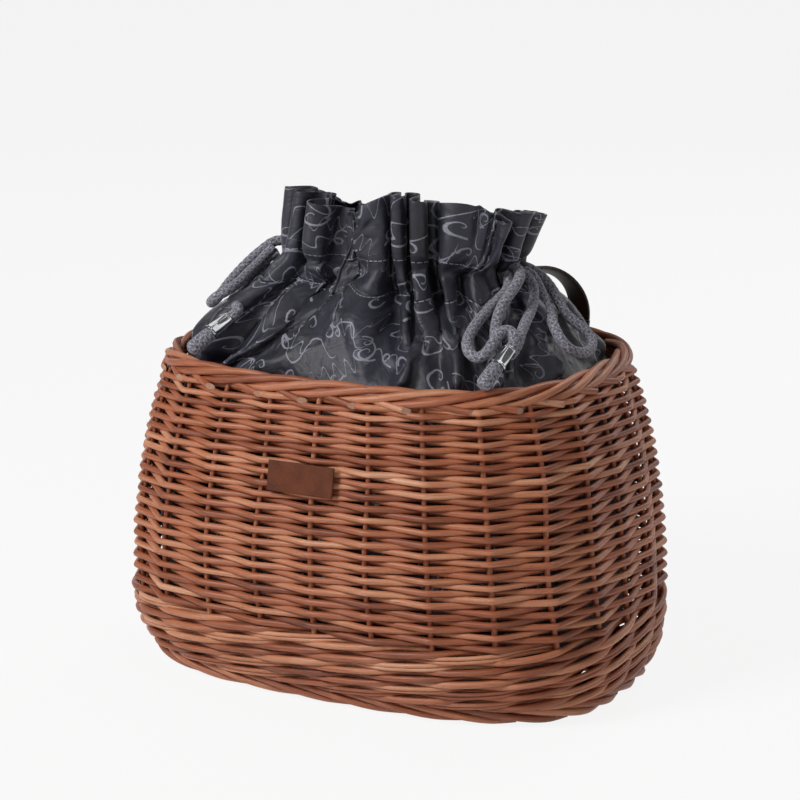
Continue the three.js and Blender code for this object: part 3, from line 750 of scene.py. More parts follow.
def stakeTurnTable():
    # the way round the belly, and the turn at each place on it
    count = wallSet["arcSteps"]
    halves = wallHalves(wallSet["height"] / 2)
    ring = [planPoint(2 * math.pi * i / count, *halves) for i in range(count + 1)]
    arcs = [0.0]
    for a, b in zip(ring, ring[1:]):
        arcs.append(arcs[-1] + math.dist(a, b))
    return np.array(arcs), np.linspace(0, 2 * math.pi, count + 1)


arcTable, turnTable = stakeTurnTable()
girth = float(arcTable[-1])


def turnAt(place):
    # places are counted in stakes from the first one, at the right end, towards the back
    arc = (wallSet["firstStakeArc"] + girth * place / wallSet["stakes"]) % girth
    return float(np.interp(arc, arcTable, turnTable))


def wallPoint(place, height, inset):
    x, y = planPoint(turnAt(place), *wallHalves(height, inset))
    return Vector((x, y, height))


def makeRods(name, rods, resolution=2):
    sides = 4 + 2 * resolution
    curve = bpy.data.curves.new(name, "CURVE")
    curve.dimensions = "3D"
    curve.bevel_depth = mm
    curve.bevel_resolution = resolution
    curve.use_fill_caps = True
    for rod in rods:
        spline = curve.splines.new("POLY")
        spline.points.add(len(rod["points"]) - 1)
        spline.points.foreach_set("co", [c for p in rod["points"] for c in (*p, 1.0)])
        spline.points.foreach_set("radius", [r / mm for r in rod["radii"]])
        spline.use_cyclic_u = rod.get("closed", False)
    obj = bpy.data.objects.new(name, curve)
    bpy.context.scene.collection.objects.link(obj)
    pick(obj)
    bpy.ops.object.convert(target="MESH")
    obj = bpy.context.active_object
    obj.name = name
    mesh = obj.data
    # the caps of the open rods come first, the last rod's before the first one's
    openRods = [i for i, rod in enumerate(rods) if not rod.get("closed")]
    owner = [i for i in reversed(openRods) for _ in range(2 * sides)]
    for i, rod in enumerate(rods):
        owner += [i] * (len(rod["points"]) * sides)
    if len(owner) != len(mesh.vertices):
        raise RuntimeError(f"{name} has {len(mesh.vertices)} points and not {len(owner)}")
    owner = np.array(owner)
    tones = np.array([rod["tone"] for rod in rods], np.float32)[owner]
    mesh.attributes.new("rodTone", "FLOAT", "POINT").data.foreach_set("value", tones)
    lengths = [sum((b - a).length for a, b in zip(rod["points"], rod["points"][1:])) for rod in rods]
    corners = np.zeros(len(mesh.loops), np.int32)
    mesh.loops.foreach_get("vertex_index", corners)
    owner = owner[corners]
    layer = mesh.uv_layers[0]
    uv = np.zeros(len(mesh.loops) * 2, np.float32)
    layer.data.foreach_get("uv", uv)
    uv = uv.reshape(-1, 2)
    uv[:, 0] = uv[:, 0] * np.array(lengths)[owner] + np.array([i * 1.73 for i in range(len(rods))])[owner]
    layer.data.foreach_set("uv", uv.ravel())
    return obj


def tone():
    return chance.random()


weaveSet = {
    "bottom": 0.0748,
    "top": 0.2632,
    "rows": 41,
    "tighter": 0.13,
    "lowRadius": 0.00284,
    "topRadius": 0.00258,
    "stakeRadius": 0.00225,
    "reach": 0.0042,
    "turn": 0.035,          # the round turn over a stake, in shares of the way between two stakes
    "straight": 0.8,
    "drift": 0.55,          # how far a rod strays up or down, in mm
    "push": 0.5,            # and in or out
    "butt": 1.07,
    "taper": 0.17,
    "swell": 0.03,
    "stops": (0.0, 0.055, 0.13, 0.3, 0.5, 0.7, 0.87, 0.945),
}


def chordPoint(place, height, inset, straight):
    # between two stakes a rod runs nearly straight and not round the curve
    low = math.floor(place)
    share = place - low
    chord = wallPoint(low, height, inset).lerp(wallPoint(low + 1, height, inset), share)
    return wallPoint(place, height, inset).lerp(chord, straight)


def rowHeight(row):
    share = row / (weaveSet["rows"] - 1)
    share += weaveSet["tighter"] * share * (1 - share)
    return weaveSet["bottom"] + share * (weaveSet["top"] - weaveSet["bottom"])


def addSideWeave():
    rods = []
    stakes, turn = wallSet["stakes"], weaveSet["turn"]
    for row in range(weaveSet["rows"]):
        base = rowHeight(row)
        share = row / (weaveSet["rows"] - 1)
        thick = weaveSet["lowRadius"] + share * (weaveSet["topRadius"] - weaveSet["lowRadius"])
        phase, butt = chance.uniform(0, 6.28), chance.uniform(0, stakes)
        strays = [weaveSet["drift"] * mm, weaveSet["push"] * mm]
        drift, push = ([chance.uniform(-stray, stray) for _ in range(stakes)] for stray in strays)
        points, radii = [], []
        for stake in range(stakes):
            ahead = (stake + 1) % stakes
            side = 1 if (stake + row) % 2 == 0 else -1
            for stop in weaveSet["stops"]:
                near = stop if stop < 0.5 else 1 - stop
                # a round turn over the stake, and straight from there to the next one
                turned = 1 - 2 * max(0.0, near - turn) / (1 - 2 * turn) - 0.5 * min(near, turn) ** 2 / turn
                swing = side * (turned if stop < 0.5 else -turned) if stop != 0.5 else 0.0
                lift = drift[stake] * (1 - stop) + drift[ahead] * stop
                shove = (push[stake] * (1 - stop) + push[ahead] * stop) * abs(swing)
                inset = wallSet["thickness"] / 2 - weaveSet["reach"] * swing - shove
                points.append(chordPoint(stake + stop, base + lift, inset, weaveSet["straight"]))
                taper = weaveSet["taper"] * ((stake + stop - butt) % stakes) / stakes
                swell = weaveSet["swell"] * math.sin((stake + stop) * 1.7 + phase)
                radii.append(thick * (weaveSet["butt"] - taper + swell))
        rods.append({"points": points, "radii": radii, "tone": tone(), "closed": True})
    obj = makeRods("woven_side", rods)
    finish(obj, "basket", willow, ["side_weave"])


stakeSet = {"from": 0.004, "to": 0.272, "steps": 29, "lean": 0.03, "sway": 0.35, "butt": 1.06, "taper": 0.1}


def addStakes():
    rods = []
    steps = stakeSet["steps"]
    for stake in range(wallSet["stakes"]):
        lean = chance.uniform(-stakeSet["lean"], stakeSet["lean"])
        points = []
        for i in range(steps + 1):
            height = stakeSet["from"] + (stakeSet["to"] - stakeSet["from"]) * i / steps
            place = stake + lean * math.sin(i * stakeSet["sway"])
            points.append(wallPoint(place, height, wallSet["thickness"] / 2))
        thick = weaveSet["stakeRadius"] * chance.uniform(0.95, 1.08)
        radii = [thick * (stakeSet["butt"] - stakeSet["taper"] * i / steps) for i in range(steps + 1)]
        rods.append({"points": points, "radii": radii, "tone": 0.3 + 0.5 * tone()})
    obj = makeRods("upright_stakes", rods)
    # the stakes take the darker copy: painted shade where they show between the rows
    finish(obj, "basket", willowShaded, [f"stake_{i + 1:02d}" for i in range(wallSet["stakes"])])


walingSet = {
    "courses": 5,
    "lowest": 0.0205,
    "pitch": 0.0113,
    "radius": 0.0031,
    "thinRadius": 0.0018,
    "reach": 0.0046,
    "climb": 0.0052,
    "steps": 18,
    "held": 1.5,
    "flat": 0.55,
    "level": 0.35,
    "floor": 0.0062,
    "life": 9,              # turns of the course that one rod lasts for
    "fresh": 0.34,
    "thinFrom": 6.2,        # from here on a pair of thin ends runs together
    "spread": 0.0017,
    "butt": 1.06,
    "taper": 0.045,
}


def walingStroke(start, height, radius, offset, tilt):
    points, radii = [], []
    steps = walingSet["steps"]
    for i in range(steps + 1):
        t = i / steps
        place = start + 3 * t
        # a wave that is held flat where the rod lies in front of the stakes, and levels out at both ends
        swing = -math.cos(2 * math.pi * t)
        flat = math.copysign(min(1.0, abs(swing) * walingSet["held"]), swing)
        mixed = (1 - walingSet["flat"]) * swing + walingSet["flat"] * flat
        inset = wallSet["thickness"] / 2 - walingSet["reach"] * mixed
        rise = -walingSet["climb"] * math.cos(math.pi * t) * (1 - walingSet["level"] * abs(2 * t - 1) ** 6)
        level = height + rise + offset + tilt * (t - 0.5)
        points.append(wallPoint(place, max(level, walingSet["floor"]), inset))
        radii.append(radius * (0.96 + 0.1 * math.sin(math.pi * t)))
    return points, radii


def addWaling():
    rods = []
    stakes = wallSet["stakes"]
    for course in range(walingSet["courses"]):
        height = walingSet["lowest"] + course * walingSet["pitch"]
        butts = [chance.uniform(0, walingSet["life"]) for _ in range(3)]
        tones = [tone() for _ in range(3)]
        for start in range(stakes):
            rod = start % 3
            run = (start / 3 + butts[rod]) % walingSet["life"]
            if run < walingSet["fresh"]:
                tones[rod] = tone()
            shade = min(1.0, max(0.0, tones[rod] + chance.uniform(-0.08, 0.08)))
            if run > walingSet["thinFrom"]:
                for lay in (-1, 1):
                    thin = walingSet["thinRadius"] * chance.uniform(0.9, 1.1)
                    tilt = chance.uniform(-0.8, 0.8) * mm
                    points, radii = walingStroke(start, height, thin, lay * walingSet["spread"], tilt)
                    rods.append({"points": points, "radii": radii, "tone": min(1.0, shade + 0.15)})
            else:
                thick = walingSet["radius"] * (walingSet["butt"] - walingSet["taper"] * run)
                points, radii = walingStroke(start, height, thick, 0.0, chance.uniform(-0.6, 0.6) * mm)
                rods.append({"points": points, "radii": radii, "tone": shade})
    obj = makeRods("waling_rods", rods)
    finish(obj, "basket", willow, ["waling_band"])


footSet = {
    "height": 0.0083, "inset": 0.0078, "across": 0.0048, "up": 0.0052, "radius": 0.0036,
    "start": -0.3, "stray": 0.06, "span": 2.6, "from": -60, "to": 200, "thin": (1.0, -0.1, 0.0),
    # the core's height, inset, radius and tone; its low tone is painted shade
    "core": (0.0082, 0.0082, 0.0042, 0.05),
}

rimSet = {
    "height": 0.2714, "inset": 0.0075, "across": 0.0044, "up": 0.0056, "radius": 0.0033,
    "start": -0.25, "stray": 0.08, "span": 3.5, "from": 215, "to": -75, "thin": (0.9, 0.0, 0.14),
    # the core's height, inset, radius and tone; its low tone is painted shade
    "core": (0.2714, 0.0075, 0.0036, 0.1),
}

cutSet = {
    "steps": 6, "radius": 0.0028, "run": 0.62, "height": 0.2683,
    "inset": 0.0052, "outward": 0.0042, "slant": 1.3,
}


def rolledRod(facts, stake):
    # a border rod that rolls from one side of the wall to the other while it runs past some stakes
    start = stake + facts["start"] + chance.uniform(-facts["stray"], facts["stray"])
    thick = facts["radius"] * chance.uniform(0.92, 1.02)
    butt, taper, swell = facts["thin"]
    points, radii = [], []
    for i in range(25):
        t = i / 24
        angle = math.radians(facts["from"] + (facts["to"] - facts["from"]) * t)
        inset = facts["inset"] - facts["across"] * math.sin(angle)
        height = facts["height"] + facts["up"] * math.cos(angle)
        points.append(wallPoint(start + facts["span"] * t, max(height, thick), inset))
        radii.append(thick * (butt + taper * t + swell * math.sin(math.pi * t)))
    return {"points": points, "radii": radii, "tone": tone()}


# a closed dark ring inside the border: painted shade that fills the border's gaps where only shade shows
def addCore(name, height, inset, radius, shade):
    points = [wallPoint(i / 4, height, inset) for i in range(4 * wallSet["stakes"])]
    rod = {"points": points, "radii": [radius] * len(points), "tone": shade, "closed": True}
    core = makeRods(name, [rod])
    finish(core, "basket", willowShaded)


def addFoot():
    obj = makeRods("foot_rods", [rolledRod(footSet, stake) for stake in range(wallSet["stakes"])])
    finish(obj, "basket", willow, ["foot_border"])
    addCore("foot_core", *footSet["core"])


def cutEnd(stake):
    # a cut rod that comes out under the border
    tip = stake - 0.2 + chance.uniform(-0.1, 0.1)
    fall = chance.uniform(0.0045, 0.0062)
    points = []
    for i in range(cutSet["steps"] + 1):
        t = i / cutSet["steps"]
        place, inset = tip - cutSet["run"] * (1 - t), cutSet["inset"] - cutSet["outward"] * t
        points.append(wallPoint(place, cutSet["height"] - fall * t, inset))
    return {"points": points, "radii": [cutSet["radius"]] * len(points), "tone": tone()}


def slantCuts(mesh, ends):
    sides, rings = 8, cutSet["steps"] + 1
    for index, end in enumerate(ends):
        # the rod's last ring of points, and its cap's own ring
        ring = len(ends) * 2 * sides + (index * rings + rings - 1) * sides
        cap = (len(ends) - 1 - index) * 2 * sides
        centre = end["points"][-1]
        along = (end["points"][-1] - end["points"][-2]).normalized()
        outward = Vector((centre.x / wallSet["length"] ** 2, centre.y / wallSet["width"] ** 2, 0.0))
        outward.normalize()
        for start in (ring, cap):
            for vertex in mesh.vertices[start:start + sides]:
                vertex.co = vertex.co - along * ((vertex.co - centre).dot(outward) * cutSet["slant"])


def addRim():
    rods, ends = [], []
    for stake in range(wallSet["stakes"]):
        rods.append(rolledRod(rimSet, stake))
        ends.append(cutEnd(stake))
    obj = makeRods("rim_rods", rods)
    finish(obj, "basket", willow, ["rim_border"])
    addCore("rim_core", *rimSet["core"])
    cut = makeRods("cut_ends", ends)
    slantCuts(cut.data, ends)
    finish(cut, "basket", [willow, cutWood])
    for face in cut.data.polygons:
        if len(face.vertices) == 3:
            face.material_index = 1
            face.use_smooth = False


baseSet = {
    "inset": 0.0143, "level": 0.007, "middle": 0.008, "sticks": 4, "radius": 0.0024, "stickRadius": 0.0033,
    "pitch": 0.0046, "wave": 0.0023, "shortest": 0.02, "edge": 0.001, "stickEdge": 0.007,
}


def ovalReach(share):
    return max(0.0, 1 - share ** wallSet["power"]) ** (1 / wallSet["power"])


def addBase():
    halfLength, halfWidth = wallHalves(baseSet["level"], baseSet["inset"])
    middle = baseSet["middle"]
    pitch = 2 * halfWidth / (baseSet["sticks"] + 1)
    sticks = [pitch * (i + 1) - halfWidth for i in range(baseSet["sticks"])]
    rods = []
    count = int(2 * halfLength / baseSet["pitch"])
    for i in range(count):
        x = -halfLength + 2 * halfLength * (i + 0.5) / count
        reach = halfWidth * ovalReach(abs(x) / halfLength) - baseSet["edge"]
        if reach < baseSet["shortest"]:
            continue
        points = []
        for k in range(33):
            y = -reach + 2 * reach * k / 32
            wave = math.cos(math.pi * ((y - sticks[0]) / pitch + i))
            points.append(Vector((x, y, middle + baseSet["wave"] * wave)))
        rods.append({"points": points, "radii": [baseSet["radius"]] * 33, "tone": tone()})
    obj = makeRods("base_weave", rods, 1)
    finish(obj, "basket", willow, ["base_mat"])
    rods = []
    for y in sticks:
        run = halfLength * ovalReach(abs(y) / halfWidth) - baseSet["stickEdge"]
        points = [Vector((run * (k / 8 - 1), y, middle)) for k in range(17)]
        rods.append({"points": points, "radii": [baseSet["stickRadius"]] * 17, "tone": tone()})
    obj = makeRods("base_rods", rods)
    names = [f"base_stick_{i + 1}" for i in range(baseSet["sticks"])]
    # the sticks take the darker copy: painted shade under the base
    finish(obj, "basket", willowShaded, names)


addStakes()
addSideWeave()
addWaling()
addFoot()
addRim()
addBase()
print("basket woven")


linerSet = {
    "length": 0.348,
    "width": 0.280,
    "height": 0.418,
    "floor": 0.0133,
    "thickness": 0.0008,
    "around": 360,
    "flatGirth": 1.05,
    "looseFrom": 0.25,      # the cloth is simulated from here up
    "heldTo": 0.268,
    "seam": 0.337,
    "frillSeam": 0.366,
    "channel": 0.352,
    "top": 0.4165,
    "rowStep": 0.0029,
    "lowStep": 0.013,
    "frames": 12,
    "gravity": 0.15,
    "channelReach": 0.004,
    "holds": {"low": 1.0, "channel": 0.5, "frill": 0.16, "shoulder": 0.1},
    "floorRings": (0.75, 0.5, 0.25),
    # share of the height, then shares of the length and the width, and the power of the oval
    "profile": [
        (0.0318, 0.905, 0.84, 2.9),
        (0.062, 1.03, 0.96, 3.1),
        (0.144, 1.08, 1.06, 3.4),
        (0.35, 1.1, 1.1, 3.5),
        (0.5, 1.07, 1.07, 3.4),
        (0.58, 1.02, 1.02, 3.2),
        (0.64, 0.975, 0.965, 3.0),
        (0.682, 0.935, 0.935, 2.9),
        (0.73, 0.85, 0.835, 2.75),
        (0.77, 0.74, 0.705, 2.5),
        (0.806, 0.63, 0.555, 2.3),
        (0.842, 0.575, 0.5, 2.2),
        (0.883, 0.57, 0.5, 2.2),
        (0.94, 0.575, 0.53, 2.2),
        (0.995, 0.585, 0.56, 2.2),
    ],
    # the shoulder's folds: degrees round and mm up at the top, middle and bottom, then depth and width
    "folds": [
        ((223, 350), (227, 318), (233, 280), 12, 13),
        ((250, 340), (241, 307), (236, 268), -22, 13),
        ((262, 340), (254, 312), (242, 272), 12, 6),
        ((276, 332), (268, 310), (260, 280), 7, 16),
        ((289, 340), (285, 314), (281, 282), -16, 11),
        ((302, 350), (293, 316), (286, 278), 13, 8),
        ((309, 352), (301, 318), (298, 282), -13, 7),
        ((315, 350), (308, 316), (305, 280), 12, 7),
        ((321, 352), (314, 312), (313, 282), -13, 8),
        ((331, 350), (323, 312), (321, 280), 12, 9),
        ((347, 342), (340, 306), (336, 280), -14, 10),
        ((359, 340), (352, 306), (350, 280), 12, 11),
        ((12, 340), (4, 304), (2, 282), -14, 10),
        ((24, 345), (19, 310), (16, 282), 12, 10),
        ((40, 345), (36, 310), (34, 282), -16, 12),
        ((56, 345), (52, 312), (48, 282), 10, 12),
        ((72, 340), (70, 310), (66, 280), -13, 12),
        ((90, 345), (86, 310), (82, 282), 13, 14),
        ((108, 342), (107, 312), (105, 282), -14, 11),
        ((124, 345), (126, 308), (128, 280), 12, 13),
        ((142, 345), (146, 310), (150, 282), -16, 12),
        ((158, 345), (161, 312), (164, 280), 10, 11),
        ((176, 344), (178, 308), (180, 282), -14, 12),
        ((194, 346), (196, 310), (198, 280), 12, 12),
        ((208, 346), (212, 310), (216, 280), -13, 9),
    ],
    # how far the frill reaches, by turn in degrees: tall at the front left, drooping behind
    "reach": [
        (0, 0.78), (60, 0.6), (130, 0.62), (185, 0.86), (212, 1.0), (236, 0.92), (253, 0.78), (268, 0.86),
        (282, 1.04), (298, 1.04), (308, 0.94), (319, 1.02), (331, 0.84), (346, 0.86), (360, 0.78),
    ],
    "fade": {"from": (-0.016, 0.006), "to": (-0.006, 0.012)},
    "opens": (0.283, 0.322),
    # small gathers, and wider lobes: how many, how deep, how they fade below and above the channel,
    # and how far they wander round the bag and with the height
    "gathers": {
        "count": 33, "size": 0.8, "share": 0.75, "below": 0.02, "above": 0.017,
        "wander": 5, "drift": 30, "uneven": 0.5,
    },
    "lobes": {
        "count": 17, "size": 0.62, "below": 0.036, "above": 0.03, "start": 1.3, "wander": 5.5, "drift": 16,
        "sway": 0.42, "double": 0.22, "uneven": 0.7,
    },
    # how the frill leans at the back, right, left and front: the turn from each side to the x axis,
    # and metres outward for each metre up
    "leans": [(-math.pi / 2, -0.35), (0.3, 0.24), (math.pi + 0.3, -0.17), (math.pi / 2 - 0.1, -0.3)],
}

clothSettings = {
    "quality": 7,
    "mass": 0.08,
    "tension_stiffness": 14,
    "compression_stiffness": 14,
    "shear_stiffness": 5,
    "bending_stiffness": 3.0,
    "tension_damping": 8,
    "compression_damping": 8,
    "shear_damping": 8,
    "bending_damping": 1.0,
    "air_damping": 3.0,
    "vertex_group_mass": "held",
    "pin_stiffness": 1.0,
}

clothContact = {
    "use_self_collision": True,
    "self_distance_min": 0.0014,
    "self_friction": 3,
    "use_collision": False,
}


def linerHalves(share):
    rows = linerSet["profile"]
    return (
        smoothShare(rows, 1, share) * linerSet["length"] / 2,
        smoothShare(rows, 2, share) * linerSet["width"] / 2,
        smoothShare(rows, 3, share),
    )


def linerRing(height, shares):
    # points and outward directions at even shares of the way round, and the way's length
    halfLength, halfWidth, power = linerHalves(height / linerSet["height"])
    angles = np.linspace(0, 2 * math.pi, 12001)

    def plan(turns):
        c, s = np.cos(turns), np.sin(turns)
        return (np.sign(c) * halfLength * np.abs(c) ** (2 / power),
                np.sign(s) * halfWidth * np.abs(s) ** (2 / power))

    x, y = plan(angles)
    arcs = np.concatenate([[0], np.cumsum(np.hypot(np.diff(x), np.diff(y)))])
    turns = np.interp(shares * arcs[-1], arcs, angles)
    x, y = plan(turns)
    near, far = plan(turns - 1e-4), plan(turns + 1e-4)
    dx, dy = far[0] - near[0], far[1] - near[1]
    run = np.hypot(dx, dy)
    return x, y, dx / run, dy / run, turns, float(arcs[-1])


def profileHeights(low, high, step):
    # heights whose distances are even along the cloth, and those distances
    fine = np.linspace(low, high, 1200)
    halves = [linerHalves(z / linerSet["height"]) for z in fine]
    middle = np.array([(a + b) / 2 for a, b, _ in halves])
    along = np.concatenate([[0], np.cumsum(np.hypot(np.diff(fine), np.diff(middle)))])
    count = max(int(along[-1] / step), 2)
    even = np.linspace(0, along[-1], count + 1)
    return np.interp(even, along, fine), even


def ease(value, low, high):
    t = max(0.0, min(1.0, (value - low) / (high - low)))
    return t * t * (3 - 2 * t)


def foldDepth(turns, radius, height):
    # the listed folds: each runs down the shoulder and fades at both ends
    total = np.zeros_like(turns)
    fadeIn, fadeOut = linerSet["fade"]["from"], linerSet["fade"]["to"]
    for upper, middle, lower, depth, width in linerSet["folds"]:
        heights = [lower[1] * mm, middle[1] * mm, upper[1] * mm]
        start = upper[0]
        places = [start + (place - start + 180) % 360 - 180 for place in (lower[0], middle[0], start)]
        place = math.radians(np.interp(height, heights, places))
        fade = ease(height, heights[0] + fadeIn[0], heights[0] + fadeIn[1])
        fade = fade * (1 - ease(height, heights[2] + fadeOut[0], heights[2] + fadeOut[1]))
        away = (turns - place + math.pi) % (2 * math.pi) - math.pi
        total += depth * mm * fade * np.exp(-(away * radius / (width * mm)) ** 2)
    return total


def waver(turns, rate, seed):
    places = [Vector((math.cos(t) * rate + seed, math.sin(t) * rate, seed * 0.37)) for t in turns]
    return np.array([noise.noise(place) for place in places])


def gatherTable():
    # how steep a wave is whose length along the cloth is so many times its straight length
    steep = np.linspace(0, 7, 701)
    phase = np.linspace(0, 2 * math.pi, 721)
    ratios = np.array([np.mean(np.sqrt(1 + (k * np.cos(phase)) ** 2)) for k in steep])
    return steep, ratios


def looseCloth(heights, along):
    count = linerSet["around"]
    shares = np.arange(count) / count
    circle = 2 * math.pi * shares
    steepness, ratios = gatherTable()
    slow, middling, quick = (waver(circle, rate, seed) for rate, seed in ((1.6, 3.1), (2.7, 9.2), (4.0, 5.5)))
    girth, gathers, lobes = linerSet["flatGirth"], linerSet["gathers"], linerSet["lobes"]
    roll = girth / (2 * math.pi)
    points, flat = [], []
    reachTurns = [math.radians(turn) for turn, _ in linerSet["reach"]]
    reachShares = [share for _, share in linerSet["reach"]]
    for height, way in zip(heights, along):
        x, y, dx, dy, turns, run = linerRing(height, shares)
        steep = float(np.interp(girth / run, ratios, steepness))
        away = height - linerSet["channel"]
        if away < 0:
            fine = math.exp(-(away / gathers["below"]) ** 2)
            wide = lobes["size"] * math.exp(-(away / lobes["below"]) ** 2)
        else:
            fine = math.exp(-(away / gathers["above"]) ** 2)
            wide = lobes["size"] + (1 - lobes["size"]) * min(1.0, away / lobes["above"])
        whole = math.sqrt(gathers["share"] * fine * fine + wide * wide)
        opened = ease(height, *linerSet["opens"])
        rate = 2 * math.pi / run
        fineSize = steep * gathers["size"] * fine / whole / (gathers["count"] * rate) * opened
        lobeSize = steep * wide / whole / (lobes["count"] * rate) * opened
        finePhase = gathers["count"] * circle + gathers["wander"] * slow
        finePhase = finePhase + height * gathers["drift"] * middling
        lobePhase = lobes["count"] * circle + lobes["wander"] * middling + lobes["start"]
        lobePhase = lobePhase + lobes["drift"] * height * slow
        offset = fineSize * np.cos(finePhase) * (1 + gathers["uneven"] * quick)
        lobe = np.cos(lobePhase) + lobes["double"] * np.cos(2 * lobePhase + slow)
        offset += lobeSize * lobe * (1 + lobes["uneven"] * slow)
        offset += foldDepth(turns, np.hypot(x, y), height)
        sway = lobeSize * lobes["sway"] * np.sin(2 * lobePhase)
        up = np.full(count, height)
        if away > 0:
            up = linerSet["channel"] + away * np.interp(turns % (2 * math.pi), reachTurns, reachShares)
            for turn, lean in linerSet["leans"]:
                offset += np.clip(np.cos(turns + turn), 0, 1) * away * lean
        points.append(np.stack([x + dy * offset + dx * sway, y - dx * offset + dy * sway, up], 1))
        flat.append(np.stack([roll * np.cos(circle), roll * np.sin(circle), np.full(count, way)], 1))
    return np.concatenate(points), np.concatenate(flat)


def settleCloth(points, flat, heights):
    # the gathered cloth settles for a few frames: its rest shape is the flat tube that it was sewn from
    count, rows = linerSet["around"], len(heights)
    obj = meshObject("loose_cloth", points, gridFaces(rows, count))
    obj.shape_key_add(name="Basis")
    flatShape = obj.shape_key_add(name="flat")
    flatShape.data.foreach_set("co", flat.astype(np.float32).ravel())
    flatShape.value = 0
    held = obj.vertex_groups.new(name="held")
    for row, height in enumerate(heights):
        if height < linerSet["heldTo"]:
            part = "low"
        elif abs(height - linerSet["channel"]) < linerSet["channelReach"]:
            part = "channel"
        else:
            part = "frill" if height > linerSet["channel"] else "shoulder"
        held.add(list(range(row * count, (row + 1) * count)), linerSet["holds"][part], "REPLACE")
    cloth = obj.modifiers.new("cloth", "CLOTH")
    for key, value in clothSettings.items():
        setattr(cloth.settings, key, value)
    for key, value in clothContact.items():
        setattr(cloth.collision_settings, key, value)
    cloth.settings.rest_shape_key = flatShape
    cloth.settings.effector_weights.gravity = linerSet["gravity"]
    scene = bpy.context.scene
    cloth.point_cache.frame_start, cloth.point_cache.frame_end = 1, linerSet["frames"]
    for step in range(1, linerSet["frames"] + 1):
        scene.frame_set(step)
        bpy.context.view_layer.update()
    settled = obj.evaluated_get(bpy.context.evaluated_depsgraph_get()).data
    places = np.empty(len(points) * 3, np.float32)
    settled.vertices.foreach_get("co", places)
    scene.frame_set(1)
    bpy.data.objects.remove(obj)
    return places.reshape(-1, 3).astype(float)


def clothPiece(name, points, rows, wayUp, closedFloor, levels):
    count = linerSet["around"]
    points = [tuple(point) for point in points]
    faces = gridFaces(rows, count)
    if closedFloor:
        rings = [0]
        for shrink in linerSet["floorRings"]:
            rings.append(len(points))
            points += [(points[k][0] * shrink, points[k][1] * shrink, points[k][2]) for k in range(count)]
        for a, b in zip(rings, rings[1:]):
            faces += [(b + k, b + (k + 1) % count, a + (k + 1) % count, a + k) for k in range(count)]
        centre = len(points)
        points.append((0, 0, points[0][2]))
        faces += [(centre, rings[-1] + (k + 1) % count, rings[-1] + k) for k in range(count)]
    obj = meshObject(name, points, faces)
    layer = obj.data.uv_layers.new(name="UVMap")
    uvs = []
    for face in obj.data.polygons:
        own = list(face.vertices)
        columns = [vertex % count for vertex in own]
        wraps = max(columns) - min(columns) > count / 2
        for vertex, column in zip(own, columns):
            if vertex < rows * count:
                u = (column + (count if wraps and column < count / 2 else 0)) / count * linerSet["flatGirth"]
                uvs += [u, wayUp[vertex // count]]
            else:
                uvs += [points[vertex][0] + 2, points[vertex][1] - 2]
    layer.data.foreach_set("uv", uvs)
    if levels:
        change(obj, "SUBSURF", levels=levels, render_levels=levels)
    change(obj, "SOLIDIFY", thickness=linerSet["thickness"], offset=-1)
    print(obj.name, len(obj.data.polygons), "faces")
    return obj


def addLiner():
    count = linerSet["around"]
    heights, along = profileHeights(linerSet["looseFrom"], linerSet["top"], linerSet["rowStep"])
    points, flat = looseCloth(heights, along)
    points = settleCloth(points, flat, heights)
    lowHeights, lowAlong = profileHeights(linerSet["floor"], linerSet["looseFrom"], linerSet["lowStep"])
    low, _ = looseCloth(lowHeights[:-1], lowAlong[:-1])
    wayUp = list(lowAlong[:-1]) + [lowAlong[-1] + way for way in along]
    seam = int(np.argmin(np.abs(heights - linerSet["seam"])))
    lowRows = len(lowHeights) - 1
    # the channel's two rows of stitches, as lengths up the cloth
    seams = (linerSet["seam"], linerSet["frillSeam"])
    cloth = clothMaterial([float(np.interp(height, heights, wayUp[lowRows:])) for height in seams])
    pouchPoints = np.concatenate([low, points[:(seam + 1) * count]])
    pouch = clothPiece("liner_pouch_cloth", pouchPoints, lowRows + seam + 1, wayUp, True, 0)
    frillUp = wayUp[lowRows + seam:]
    frill = clothPiece("liner_frill_cloth", points[seam * count:], len(heights) - seam, frillUp, False, 1)
    finish(pouch, "liner", cloth, ["liner_pouch"])
    finish(frill, "liner", cloth, ["liner_frill"])
    return pouch, frill


pouch, frill = addLiner()
print("liner hung")


handleSet = {
    "span": 0.188,
    "across": 0.004,
    "rise": 0.040,
    "corner": 0.034,
    "width": 0.020,
    "thickness": 0.003,
    "plane": 0.155713,
    "axis": 0.2821,
    "twist": 0.75,
    "steps": 14,
    "edge": 0.0008,
    "foot": (-0.92, -0.6),  # rings of the rounded lower end, in half thicknesses below the axis
}


